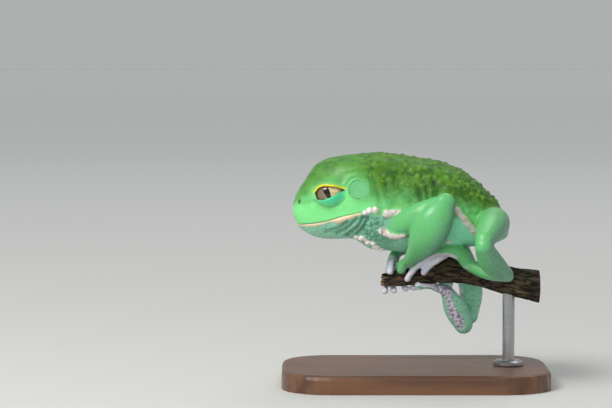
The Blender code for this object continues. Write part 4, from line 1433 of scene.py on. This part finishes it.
    def bars(self, marks: MarkSet) -> tuple[Array, Array]:
        """The white bean, the bars of flank and upper arm, and the beads' seats.

        Args:
            marks: The measured vertices.

        Returns:
            The height, a half round across each line, and how white each vertex is.
        """
        height = np.zeros(len(marks.points))
        white = np.zeros(len(marks.points))
        wobble = noise(marks.points, 1.4, 71)
        taper = 0.9 * smooth_step(-9.0, -3.6, marks.points[:, 0])
        rows = [
            (marks.to_line(FACE.bean) + 0.15 * wobble + taper, 1.3, 1.0),
            (marks.to_line(FACE.flank_bar) + 0.2 * wobble, 1.15, 0.6),
        ]
        for line in FACE.arm_bars:
            near = in_box(marks.points, line, 3.0)
            gap = np.full(len(marks.points), FAR)
            gap[near] = line_distance(marks.points[near], line)[0] - 0.3
            rows.append((gap + 0.3 * wobble, 1.45, 0.8))
        for gap, width, rise in rows:
            share = np.clip(1 - (gap / width) ** 2, 0, 1)
            height = np.maximum(height, rise * np.sqrt(share))
            white = np.maximum(white, smooth_step(0.0, 0.35, share))
        for x, z, radius in (*FACE.corner_beads, *FACE.chest_beads):
            gap = marks.gap_to(marks.flank_spot((x, z)))
            height += 0.3 * radius * bell(gap, 1.25 * radius)
        return height, white

    def lips(self, marks: MarkSet) -> Array:
        """A roll along the lower lip, half a sine over the pale band, and a fine upper lip."""
        depth, width = self.lip_depth(marks)
        share = np.clip(depth / np.maximum(width, 0.1), 0, 1)
        upper = bell(depth + 0.6, 0.5)
        on_face = smooth_step(-17.0, -18.5, marks.points[:, 0]) * marks.body
        return (0.34 * np.sin(math.pi * share) * np.minimum(width, 1.4) + 0.14 * upper) * on_face

    def lip_depth(self, marks: MarkSet) -> tuple[Array, Array]:
        """How far vertices lie below the mouth line, and the pale band's width there."""
        x = marks.points[:, 0]
        rows = np.asarray(FACE.mouth, float)
        line = np.interp(x, rows[:, 0], rows[:, 1])
        width = np.interp(x, FACE.lip_x, FACE.lip_width)
        return line - marks.points[:, 2], width

    def drums(self, marks: MarkSet) -> Array:
        """A shallow dish with a rim where each ear drum sits."""
        gap = marks.gap_to(marks.flank_spot(FACE.ear))
        dish = smooth_step(FACE.ear_radius + 0.3, FACE.ear_radius - 0.3, gap)
        return (0.3 * bell(gap - FACE.ear_radius - 0.45, 0.5) - 0.4 * dish) * marks.body

    def open_face(self, obj: bpy.types.Object) -> None:
        """Cut the eye sockets, the gaps between the lids, the nostrils and the mouth."""
        for side in Side:
            eye = np.array(FACE.eye) * (1, side.value, 1)
            socket = ellipsoid(eye, (FACE.socket,) * 3, 64, 48)
            carve(obj, socket.piece("cutter"))
            carve(obj, self.lid_gap(side).piece("cutter"))
            nose = BODY.flank(*FACE.nostril, side, -0.05)
            carve(obj, ellipsoid(nose, FACE.nostril_size, 16, 12).piece("cutter"))
        carve(obj, self.mouth_gap().piece("cutter"))

    def lid_gap(self, side: Side) -> Surface:
        """The opening between the lids: its outline scaled about the eye as it goes outwards."""
        upper = curve_through(np.array(FACE.upper_lid), 26)
        lower = curve_through(np.array(FACE.lower_lid), 26)
        outline = np.concatenate([upper, lower])
        cx, cy, cz = FACE.eye
        depths = np.linspace(0.3, 2.4, 8)
        spread = 0.94 + 0.18 * (depths - 0.3) / 2.1
        rings = np.empty((len(depths), len(outline), 3))
        rings[..., 0] = cx + spread[:, None] * (outline[:, 0] - cx)
        rings[..., 1] = side.value * (cy + FACE.eye_radius * depths)[:, None]
        rings[..., 2] = cz + spread[:, None] * (outline[:, 1] - cz)
        return closed_grid(rings, rings[0].mean(axis=0), rings[-1].mean(axis=0))

    def mouth_gap(self) -> Surface:
        """A thin wall along the mouth line, right across the head, thinner towards the corner."""
        line = curve_through(np.array(FACE.mouth), 70)
        width = self.slit_width * (1 - 0.75 * smooth_step(-34.0, -17.6, line[:, 0])) / 2
        rings = np.empty((len(line), 4, 3))
        rings[..., 0] = line[:, :1]
        rings[..., 1] = (-30.0, 30.0, 30.0, -30.0)
        rings[..., 2] = line[:, 1:] + width[:, None] * np.array([-1, -1, 1, 1])
        return closed_grid(rings, rings[0].mean(axis=0), rings[-1].mean(axis=0))

    def belly_mask(self, marks: MarkSet) -> Array:
        """Throat, chest, belly and lower flank."""
        x, z = marks.side.T
        line = np.interp(x, *np.transpose(FACE.belly_line))
        return smooth_step(0.7, -0.7, z - line) * marks.body

    def write_masks(self, obj: bpy.types.Object) -> None:
        """Store what each part of the skin is coloured by."""
        points = mesh_points(obj)
        marks = MarkSet(points)
        x, z = marks.side.T
        up = marks.up + 0.10 * noise(points, 4.0, 8)
        head_back = 0.9 * smooth_step(0.28, 0.85, up) * smooth_step(-50.0, -34.0, x)
        torso_back = smooth_step(-0.02, 0.6, up)
        to_torso = smooth_step(-23.0, -12.0, x)
        back = (head_back * (1 - to_torso) + torso_back * to_torso) * marks.body
        belly = self.belly_mask(marks)
        depth, width = self.lip_depth(marks)
        lip = smooth_step(-0.06, 0.06, depth) * smooth_step(0.1, -0.1, depth - width)
        lip *= smooth_step(-17.2, -17.8, x) * marks.body
        grain = np.maximum(belly, 0.5 * back) * (1 - lip)
        # The limbs' sides that face back and down, and what lies below the branch, take the
        # belly's teal: partly their paler undersides, partly painted shade away from the light.
        under = smooth_step(-0.15, 0.8, mesh_normals(obj) @ np.array([0.8, 0.15, -0.58]))
        below = 0.9 * smooth_step(41.0, 36.5, z)
        belly = np.maximum(belly, np.maximum(0.85 * under, below) * marks.limb)
        gap = marks.gap_to(marks.flank_spot(FACE.ear))
        nostril = marks.gap_to(marks.flank_spot(FACE.nostril))
        # Brown at the eye socket's rim and round the nostril, partly painted shade in these pits.
        pit_brown_and_shade = np.maximum(smooth_step(5.5, 5.35, marks.eye_gap), smooth_step(0.95, 0.4, nostril))
        gold = bell(marks.to_line((*FACE.upper_lid, (-23.6, 69.7))), 0.5)
        slit = np.interp(x, [-33.3, -23.1], [68.0, 69.2])
        lid = self.lid_mask(marks)
        masks = {
            "back": back,
            "limb": marks.limb,
            "white": self.bars(marks)[1],
            # Painted light: the lighter green of the head, fading out towards the body.
            "face": smooth_step(-8.0, -22.0, x) * marks.body,
            "belly": belly,
            "lip": lip,
            "groin": 0.7 * marks.window(*FACE.groin_window),
            "chest": 0.5 * marks.window(*FACE.chest_window),
            # How near each vertex lies to a wart's top, for the painted highlight there.
            "wart": self.warts(marks)[1] * (0.2 + 0.8 * back) * 0.65,
            "hollow": self.painted_shade_mask(marks, under, gap, nostril),
            "socket": pit_brown_and_shade,
            "pale": self.pale_mask(marks),
            "blotch": smooth_step(2.0, 8.0, x) * smooth_step(40.0, 36.0, z),
            "lid": lid,
            "gold": 1.05 * gold * smooth_step(-0.2, 0.6, z - slit),
            "drum": smooth_step(FACE.ear_radius + 0.9, FACE.ear_radius + 0.2, gap) * 0.8,
            "grain": grain * (1 - lid),
        }
        for name, values in masks.items():
            write_mask(obj, name, values)

    def painted_shade_mask(self, marks: MarkSet, under: Array, ear: Array, nostril: Array) -> Array:
        """Painted shade: folds, the ear's seam, the nostril, limbs' rear sides, their joins.

        Args:
            marks: The measured vertices.
            under: How far each vertex faces back and down.
            ear: Distance to the middle of the ear drum.
            nostril: Distance to the nostril.

        Returns:
            The sum of the shares of each.
        """
        x, z = marks.side.T
        # Painted shade in the grooves of the folds, stronger on the throat.
        groove = 0.75 * smooth_step(-0.03, -0.48, self.folds(marks))
        groove *= 1 + marks.window(*FACE.throat_window)
        # Painted shade along the ear drum's seam, heaviest at its upper left, and round the
        # nostril.
        lean = (marks.side - FACE.ear) @ np.array([-0.9, 0.45]) / np.maximum(ear, 0.1)
        broken = 0.12 + 0.25 * noise(marks.points, 1.2, 77) + 0.65 * smooth_step(0.2, 0.9, lean)
        seam = broken * bell(ear - FACE.ear_radius - 0.25, 0.45) + 0.6 * bell(nostril, 0.8)
        # Painted shade on the limbs' sides that face back and down, above the branch.
        dim = under * smooth_step(37.0, 44.0, z) * marks.limb
        # Painted shade where the limbs join the body.
        crease = 0.45 * bell(marks.away - 0.9, 0.55) * smooth_step(-14.0, -11.0, x)
        return groove + seam + dim + crease * smooth_step(6.5, 9.0, marks.eye_gap)

    def pale_mask(self, marks: MarkSet) -> Array:
        """The lilac soles, inner sides and digits, off the body."""
        return marks.pale_side() * smooth_step(0.2, 0.9, marks.away) * (marks.points[:, 0] > -20)

    def lid_mask(self, marks: MarkSet) -> Array:
        """The crescent between the lower lid's edge and its crease."""
        x, z = marks.side.T
        crease = np.asarray(FACE.lid_crease, float)
        edge = np.asarray(FACE.lower_lid, float)[::-1]
        low = np.interp(x, crease[:, 0], crease[:, 1])
        high = np.interp(x, edge[:, 0], edge[:, 1])
        inside = smooth_step(-0.4, 1.9, z - low) * smooth_step(0.9, 0.2, z - high)
        ends = smooth_step(-33.6, -32.0, x) * smooth_step(-22.8, -24.2, x)
        return inside * ends * smooth_step(8.5, 7.5, marks.eye_gap)

    def dress(self, obj: bpy.types.Object) -> None:
        """Give the skin its finish."""
        obj.data.materials.clear()
        obj.data.materials.append(SkinFinish().material("frog_skin"))


def ellipsoid(centre: Array, radii: tuple, sides: int, rings: int) -> Surface:
    """An ellipsoid: the radii times (sin v cos u, sin v sin u, cos v) about the centre."""
    v = np.linspace(0, math.pi, rings + 2)[1:-1, None]
    u = np.linspace(0, 2 * math.pi, sides, endpoint=False)[None]
    grid = np.stack([np.sin(v) * np.cos(u), np.sin(v) * np.sin(u), np.cos(v) + 0 * u], axis=-1)
    pole = np.array([0, 0, radii[2]])
    return closed_grid(grid * np.array(radii) + centre, centre + pole, centre - pole)


@dataclass
class Eye:
    """An eyeball with a low cornea and an upright slanting pupil.

    Attributes:
        side: Which eye.
        radius: Radius of the ball.
        cornea: Height of the cornea.
        cornea_reach: Its spread, as an angle.
        gaze: Where the eye looks, with Y outwards.
        pupil_half: Half width and half height of the pupil.
        pupil_slant: Degrees by which it leans.
        iris: Radius at which the dark rim starts.
    """

    side: Side
    radius: float = 5.02
    cornea: float = 0.12
    cornea_reach: float = 0.62
    gaze: tuple = (-0.17, 1.0, 0.16)
    pupil_half: tuple = (0.95, 2.7)
    pupil_slant: float = 24.0
    iris: float = 4.9

    def build(self) -> bpy.types.Object:
        """The eyeball: radius + cornea * bell(angle from the gaze), on a polar grid.

        Returns:
            The eyeball, with masks for pupil, streaks and rim.
        """
        centre = np.array(FACE.eye) * (1, self.side.value, 1)
        gaze = np.array(self.gaze) * (1, self.side.value, 1)
        gaze /= np.linalg.norm(gaze)
        level, up = upright_frame(gaze)
        fall = math.pi * np.linspace(0, 1, 122)[1:-1] ** 1.25
        turns = np.linspace(0, 2 * math.pi, 160, endpoint=False)
        v, u = np.meshgrid(fall, turns, indexing="ij")
        r = self.radius + self.cornea * bell(v, self.cornea_reach)
        a, b = r * np.sin(v) * np.cos(u), r * np.sin(v) * np.sin(u)
        depth = (r * np.cos(v))[..., None]
        grid = centre + a[..., None] * level + b[..., None] * up + depth * gaze
        front = centre + (self.radius + self.cornea) * gaze
        back = centre - self.radius * gaze
        obj = closed_grid(grid, front, back).piece(f"eyeball_{self.side.name.lower()}")
        forward = -np.sign(level[0]) * a.ravel()
        height = b.ravel()
        self.write_masks(obj, np.append(forward, [0, 0]), np.append(height, [0, 0]), v.ravel())
        return obj

    def write_masks(
        self, obj: bpy.types.Object, forward: Array, height: Array, fall: Array
    ) -> None:
        """Store the pupil's ellipse, the iris' streaks and its dark rim.

        Args:
            obj: The eyeball.
            forward: Place of each vertex towards the snout, across the gaze.
            height: Place upwards, across the gaze.
            fall: Angle from the gaze, without the poles.
        """
        slant = math.radians(self.pupil_slant)
        across = forward * math.cos(slant) - height * math.sin(slant)
        along = forward * math.sin(slant) + height * math.cos(slant)
        wide, tall = self.pupil_half
        shape = np.abs(across / wide) ** 1.6 + np.abs(along / tall) ** 2
        angle = np.append(fall, [0, math.pi])
        reach = np.hypot(forward, height)
        places = np.stack([np.arctan2(height, forward) * 4.2, reach * 0.35, 0 * reach], axis=1)
        streak = smooth_step(-0.1, 0.7, noise(places, 0.24, 2))
        hidden = angle > math.pi / 2
        rim = smooth_step(self.iris - 0.3, self.iris, reach)
        write_mask(obj, "pupil", np.where(hidden, 0, smooth_step(1.12, 0.92, shape)))
        write_mask(obj, "rear", smooth_step(1.2, -0.9, forward + 0.3 * noise(places, 0.6, 4)))
        write_mask(obj, "streak", streak)
        write_mask(obj, "outer", np.where(hidden, 1, rim))

    def dress(self, obj: bpy.types.Object, finish: bpy.types.Material) -> None:
        """Give the eyeball its finish."""
        obj.data.materials.append(finish)


class Trim(Enum):
    """The coloured edges of the lids."""

    GOLD = "gold"
    UMBER = "umber"
    TURQUOISE = "turquoise"


@dataclass
class LidEdge:
    """A rolled edge along one lid, on the lid's sphere."""

    side: Side
    trim: Trim

    def build(self) -> bpy.types.Object:
        """A tube along the lid line, laid on a sphere about the eye.

        Returns:
            The edge's object, thin at both ends.
        """
        line, radius, shell, drop = {
            Trim.GOLD: ((*FACE.upper_lid, (-23.7, 69.6)), 0.35, 5.72, 0.1),
            Trim.UMBER: (FACE.upper_lid, 0.17, 5.42, -0.26),
            Trim.TURQUOISE: (FACE.lower_lid, 0.27, 5.62, -0.08),
        }[self.trim]
        flat = curve_through(np.array(line), 12)
        cx, cy, cz = FACE.eye
        x, z = flat[:, 0], flat[:, 1] + drop
        bulge = np.sqrt(np.clip(shell**2 - (x - cx) ** 2 - (z - cz) ** 2, 0.1, None))
        route = np.stack([x, self.side.value * (cy + bulge), z], axis=1)
        radii = radius * (0.35 + 0.65 * np.sin(math.pi * np.linspace(0.06, 0.94, 12)))
        tube = Tube(tuple(map(tuple, route)), tuple(radii))
        return tube.surface(14).piece(f"lid_{self.trim.value}_{self.side.name.lower()}")


@dataclass
class EarDrum:
    """The round flat drum of the ear, slightly dished.

    Attributes:
        side: Which ear.
        radius: Mean radius of the outline.
        dish: How far the rim stands out of the middle.
        thick: How deep the flat back lies.
        sunk: How deep the middle of the front lies.
    """

    side: Side
    radius: float = 2.9
    dish: float = 0.16
    thick: float = 0.5
    sunk: float = 0.1

    def build(self) -> bpy.types.Object:
        """A lens: out = dish * (r / radius)^2 in front, a flat back and an uneven outline.

        Returns:
            The drum's object.
        """
        middle = BODY.flank(*FACE.ear, self.side)
        out = BODY.outward(*FACE.ear, self.side)
        level, up = upright_frame(out)
        front, back = np.linspace(0.03, 1, 26), np.linspace(0.97, 0.05, 8)
        share = np.concatenate([front, back])
        face = np.concatenate([self.dish * front**2 - self.sunk, np.full(len(back), -self.thick)])
        turns = np.linspace(0, 2 * math.pi, 72, endpoint=False)
        ripple = 0.02 * np.sin(turns * 3)[None] * share[:, None]
        outline = self.radius * (1 + 0.03 * np.sin(2 * turns + 1) + 0.015 * np.sin(5 * turns))
        a = outline * share[:, None] * np.cos(turns)
        b = outline * share[:, None] * np.sin(turns)
        lift = face[:, None] + ripple
        grid = middle + a[..., None] * level + b[..., None] * up + lift[..., None] * out
        surface = closed_grid(grid, middle - self.sunk * out, middle - self.thick * out)
        return surface.piece(f"ear_drum_{self.side.name.lower()}")

    def dress(self, obj: bpy.types.Object) -> None:
        """A cool grey-green membrane, a little mottled."""
        finish = PlainFinish(srgb(98, 178, 114), srgb(108, 188, 126), 0.45)
        obj.data.materials.append(finish.material(obj.name))


@dataclass
class Glands:
    """White beads at the corner of the mouth and on the chest, sunk into the skin.

    Attributes:
        flatness: Thickness across the flank as a share of the radius.
        corner_lift: How far the middles of the corner's beads stand out of the flank.
        chest_lift: The same on the chest.
    """

    flatness: float = 0.8
    corner_lift: float = 0.05
    chest_lift: float = 0.2

    def build(self) -> bpy.types.Object:
        """Beads as slightly uneven ellipsoids, half sunk along the flank's normal.

        Returns:
            One object of all the beads.
        """
        parts = []
        rows = ((FACE.corner_beads, self.corner_lift), (FACE.chest_beads, self.chest_lift))
        for side in Side:
            for beads, lift in rows:
                parts += [self.bead(x, z, radius, side, lift) for x, z, radius in beads]
        obj = Surface.joined(parts).piece("white_glands")
        points, normals = mesh_points(obj), mesh_normals(obj)
        set_points(obj, points + 0.14 * noise(points, 0.9, 6)[:, None] * normals)
        obj.data.materials.append(GlandFinish().material("white_glands"))
        return obj

    def bead(self, x: float, z: float, radius: float, side: Side, lift: float) -> Surface:
        """One bead, set a little out of the flank."""
        middle = BODY.flank(x, z, side) + lift * BODY.outward(x, z, side)
        return ellipsoid(middle, (radius * 1.1, radius * self.flatness, radius * 0.95), 24, 16)


# Branch and stand


@dataclass
class Branch:
    """The cut length of branch: cracked bark, a torn stub and a sawn end.

    Attributes:
        rings: Rings along the bark.
        sides: Points round a ring.
        rip: First and last size, and number, of the torn end's rings.
        saw: The same for the sawn end's.
    """

    rings: int = 420
    sides: int = 220
    rip: tuple = (0.1, 0.94, 16)
    saw: tuple = (0.95, 0.1, 14)

    def build(self) -> bpy.types.Object:
        """Radius as a function of length and angle, on a grid.

        Returns:
            Rings about the centre line whose radius is the branch's own plus long ridges, plates
            parted by cracks, and fine grain.
        """
        rows = np.column_stack([np.asarray(PERCH.route, float), PERCH.radii])
        line = curve_through(rows, self.rings)
        turns = np.linspace(0, 2 * math.pi, self.sides, endpoint=False)
        s, a = np.meshgrid(line[:, 0], turns, indexing="ij")
        base = line[:, 3:4] + 0 * a
        ball = np.stack([s * 0.32, base * np.cos(a), base * np.sin(a)], axis=-1).reshape(-1, 3)
        knots = 0.4 * noise(ball, 3.4, 31) + 0.22 * noise(ball, 1.6, 32)
        warp = np.stack([0.8 * noise(ball, 1.3, 33 + k) for k in range(3)], axis=1)
        near, second = cells(ball * (0.7, 1, 1) + warp, 1.7, 34)
        crack = smooth_step(0.16, 0.0, second - near)
        furrow = np.abs(noise(ball * (0.5, 1, 1), 1.0, 39))
        stub = smooth_step(-4.0, -9.5, s.ravel())
        grain = 0.09 * noise(ball * (0.6, 1, 1), 0.5, 35)
        radius = base.ravel() - 0.25 + knots - (0.2 + 0.4 * stub) * crack + grain
        radius += 0.35 * furrow + stub * 0.7 * noise(ball * (0.5, 1, 1), 0.9, 36)
        radius = radius.reshape(s.shape)
        y, z = radius * np.cos(a), radius * np.sin(a)
        torn = 1.1 * noise(np.stack([0 * y, y, z], axis=-1).reshape(-1, 3), 1.1, 37)
        end = smooth_step(0.0, 1.0, 1.0 - np.arange(self.rings) / 14.0)[:, None]
        x = s + end * torn.reshape(s.shape) * 0.9
        rings = np.stack([x, y, line[:, 2:3] + z], axis=-1)
        saw = [self.disc_ring(rings[-1], line[-1], k, False) for k in np.linspace(*self.saw)]
        rip = [self.disc_ring(rings[0], line[0], k, True) for k in np.linspace(*self.rip)]
        rows = np.concatenate([np.stack(rip), rings, np.stack(saw)])
        ends = rows[0].mean(axis=0), rows[-1].mean(axis=0)
        obj = closed_grid(rows, *ends).piece("branch_bark")
        self.write_masks(obj, crack.reshape(s.shape))
        obj.data.materials.append(BarkFinish().material("branch_bark"))
        return obj

    @staticmethod
    def disc_ring(ring: Array, centre: Array, share: float, torn: bool) -> Array:
        """A smaller ring inside an end ring, with splinters where it is torn.

        Args:
            ring: The end ring.
            centre: The centre line's last row.
            share: Size of the new ring against the end ring.
            torn: Whether it is ragged; a saw cut is flat.

        Returns:
            The ring's points.
        """
        made = centre[:3] + (ring - centre[:3]) * share
        if torn:
            made[:, 0] += 0.9 * noise(made * (0, 1, 1), 0.8, 41) - 0.3 * (1 - share)
        else:
            made[:, 0] = centre[0]
        return made

    def write_masks(self, obj: bpy.types.Object, crack: Array) -> None:
        """Store the cracks, the bare wood of both ends and the year rings."""
        rip, saw = np.linspace(*self.rip), np.linspace(*self.saw)
        front, back, across = len(rip), len(saw), np.zeros((1, self.sides))
        pad = [np.zeros((front, self.sides)), crack, np.zeros((back, self.sides))]
        row = np.arange(front + self.rings + back)[:, None] + across
        cut = (row < front - 1) * 0.55 + (row > front + self.rings + 0.5) * 1.0
        shares = np.concatenate([rip, np.ones(self.rings), saw])
        ring = (0.5 + 0.5 * np.sin(shares * 46.0))[:, None] + across
        write_mask(obj, "crack", np.append(np.concatenate(pad).ravel(), [0, 0]) * 0.8)
        write_mask(obj, "cut", np.append(cut.ravel(), [0.6, 1.0]))
        write_mask(obj, "ring", np.append(ring.ravel() * 0.6, [0.6, 0.6]))


@dataclass
class Stand:
    """The base and rod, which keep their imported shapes."""

    def dress(self) -> None:
        """Give the base its walnut and the rod its steel."""
        looks = {
            "stand_base": WalnutFinish().material("oiled_walnut"),
            "stand_rod": SteelFinish().material("brushed_steel"),
        }
        for name, look in looks.items():
            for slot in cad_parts[name].material_slots:
                slot.material = look


@dataclass
class Studio:
    """The pale floor, soft lights and the camera.

    Attributes:
        aim: What the camera looks at, in millimetres above the base's underside.
        distance: Camera to aim, in millimetres.
        elevation: Degrees above the horizon.
        lens: Focal length in millimetres on a sensor as wide as film.
        film: Width of the sensor in millimetres.
        clip: Nearest and farthest distance that the camera sees, in metres.
        floor_reach: Radius of the floor in metres.
        floor_near: Colour of the floor under the stand, darker where the lamps light it most.
        floor_far: Its colour far away, where it meets the surround; lighter as painted light.
        floor_painted_glow: Its faint painted glow far away, standing in for light there.
        lights: Each light's name, place and edge in metres, watts, tint, and whether glossy
            surfaces mirror it.
        lit_point: What the lights face, in metres.
        surround: Colour of the surround.
        surround_strength: Its strength.
    """

    aim: tuple = (-36.0, 0.0, 59.5)
    distance: float = 757.0
    elevation: float = 3.5
    lens: float = 135.0
    film: float = 36.0
    clip: tuple = (0.02, 100.0)
    floor_reach: float = 40.0
    # Painted light: the floor is darker near the stand and lighter, faintly glowing, far off.
    floor_near: tuple = (0.62, 0.62, 0.61)
    floor_far: tuple = (0.97, 0.98, 0.98)
    floor_painted_glow: tuple = (0.013, 0.013, 0.012)
    lights: tuple = (
        ("key", (-0.5, -0.5, 0.76), 0.4, 7.8, (1.0, 0.99, 0.95), True),
        ("fill", (-0.25, -0.95, 0.08), 0.5, 3.0, (0.94, 0.98, 1.0), False),
        ("rim", (0.2, 0.5, 0.95), 0.5, 1.8, (1.0, 1.0, 1.0), True),
    )
    lit_point: tuple = (-0.005, 0, 0.06)
    surround: tuple = (0.98, 1.0, 1.0, 1.0)
    surround_strength: float = 0.43

    def build(self) -> None:
        """Make the floor, the lights, the world and the camera."""
        self.make_floor()
        for row in self.lights:
            self.make_light(*row)
        bpy.context.scene.view_settings.view_transform = "Standard"
        self.make_world()
        self.make_camera()

    def make_floor(self) -> None:
        """A wide flat sheet in finer and finer rings towards the stand."""
        turns = np.linspace(0, 2 * math.pi, 96, endpoint=False)
        radii = np.geomspace(0.05, self.floor_reach, 40)[:, None]
        grid = np.stack([radii * np.cos(turns), radii * np.sin(turns), 0 * radii * turns], axis=-1)
        low = grid[::-1] - (0, 0, 0.01)
        points = np.concatenate([grid, low]) / MM + (0, 0, DATUM - 0.02)
        obj = closed_grid(points, points[0].mean(axis=0), points[-1].mean(axis=0)).piece("floor")
        kit = Kit("pale_floor")
        way = kit.node(
            "ShaderNodeVectorMath", {"operation": "LENGTH"}, {0: kit.position()}, "Value"
        )
        # Painted light: darker near the stand where the lamps light it, lighter and faintly
        # glowing far off, so it looks evenly lit up to the surround.
        shade = kit.mix(way.rise(0.1, 1.6), self.floor_near, self.floor_far)
        painted_glow = kit.mix(way.rise(1.0, 12.0), (0.0, 0.0, 0.0), self.floor_painted_glow)
        look = kit.surface(
            Base_Color=shade, Roughness=0.85, Emission_Color=painted_glow, Emission_Strength=1.0
        )
        obj.data.materials.append(look)

    def make_light(
        self, name: str, place: tuple, size: float, power: float, tint: tuple, gleam: bool
    ) -> None:
        """A square area light that faces the frog.

        Args:
            name: The light's name.
            place: Its position in metres.
            size: Edge of the square in metres.
            power: Watts.
            tint: Its colour.
            gleam: Whether glossy surfaces mirror it.
        """
        lamp = bpy.data.lights.new(name, "AREA")
        lamp.size = size
        lamp.energy = power
        lamp.color = tint
        obj = bpy.data.objects.new(name, lamp)
        obj.location = place
        way = Vector(place) - Vector(self.lit_point)
        obj.rotation_euler = way.to_track_quat("Z", "Y").to_euler()
        obj.visible_glossy = gleam
        bpy.context.scene.collection.objects.link(obj)

    def make_world(self) -> None:
        """An even pale surround."""
        world = bpy.data.worlds.new("surround")
        world.use_nodes = True
        back = world.node_tree.nodes["Background"]
        back.inputs["Color"].default_value = self.surround
        back.inputs["Strength"].default_value = self.surround_strength
        bpy.context.scene.world = world

    def make_camera(self) -> None:
        """The camera, at the angle and framing of the picture."""
        data = bpy.data.cameras.new("camera")
        data.lens = self.lens
        data.sensor_width = self.film
        data.clip_start, data.clip_end = self.clip
        angle = math.radians(self.elevation)
        aim = Vector(self.aim) * MM
        back = Vector((0, -math.cos(angle), math.sin(angle)))
        obj = bpy.data.objects.new("camera", data)
        obj.location = aim + back * self.distance * MM
        obj.rotation_euler = back.to_track_quat("Z", "Y").to_euler()
        bpy.context.scene.collection.objects.link(obj)
        bpy.context.scene.camera = obj


def settle(obj: bpy.types.Object, slot: str, *nodes: str) -> None:
    """Let a finished piece ride on the body and stand for its solids.

    Args:
        obj: The piece.
        slot: A material slot of the record; not used.
        nodes: The solids that it replaces.
    """
    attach(obj, "root")
    if nodes:
        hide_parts(*nodes)
    log.info("%s: %d faces", obj.name, len(obj.data.polygons))


def main() -> None:
    """Build the studio, the frog's pieces and the branch, report each piece, and dress the stand.
    """
    logging.basicConfig(level=logging.INFO, format="%(message)s")
    Studio().build()
    skin = Skin()
    hide = skin.build()
    skin.dress(hide)
    settle(hide, "side_skin", *skin.nodes)
    eye_look = EyeFinish().material("eyeball")
    trims = {
        Trim.GOLD: PlainFinish(srgb(238, 214, 28), srgb(206, 196, 30)).material("gold_lid"),
        Trim.UMBER: PlainFinish(srgb(92, 40, 20), srgb(60, 26, 14)).material("umber_lid"),
        Trim.TURQUOISE: PlainFinish(srgb(60, 222, 166), srgb(44, 196, 140)).material("green_lid"),
    }
    for side in Side:
        word = side.name.lower()
        eye = Eye(side)
        ball = eye.build()
        eye.dress(ball, eye_look)
        settle(ball, "eye", f"eye_{word}")
        for trim in Trim:
            edge = LidEdge(side, trim).build()
            edge.data.materials.append(trims[trim])
            settle(edge, "side_skin")
        drum = EarDrum(side)
        plate = drum.build()
        drum.dress(plate)
        settle(plate, "side_skin", f"ear_{word}")
    settle(Glands().build(), "belly_skin")
    settle(Branch().build(), "bark", "perch_branch")
    Stand().dress()


if __name__ == "__main__":
    main()
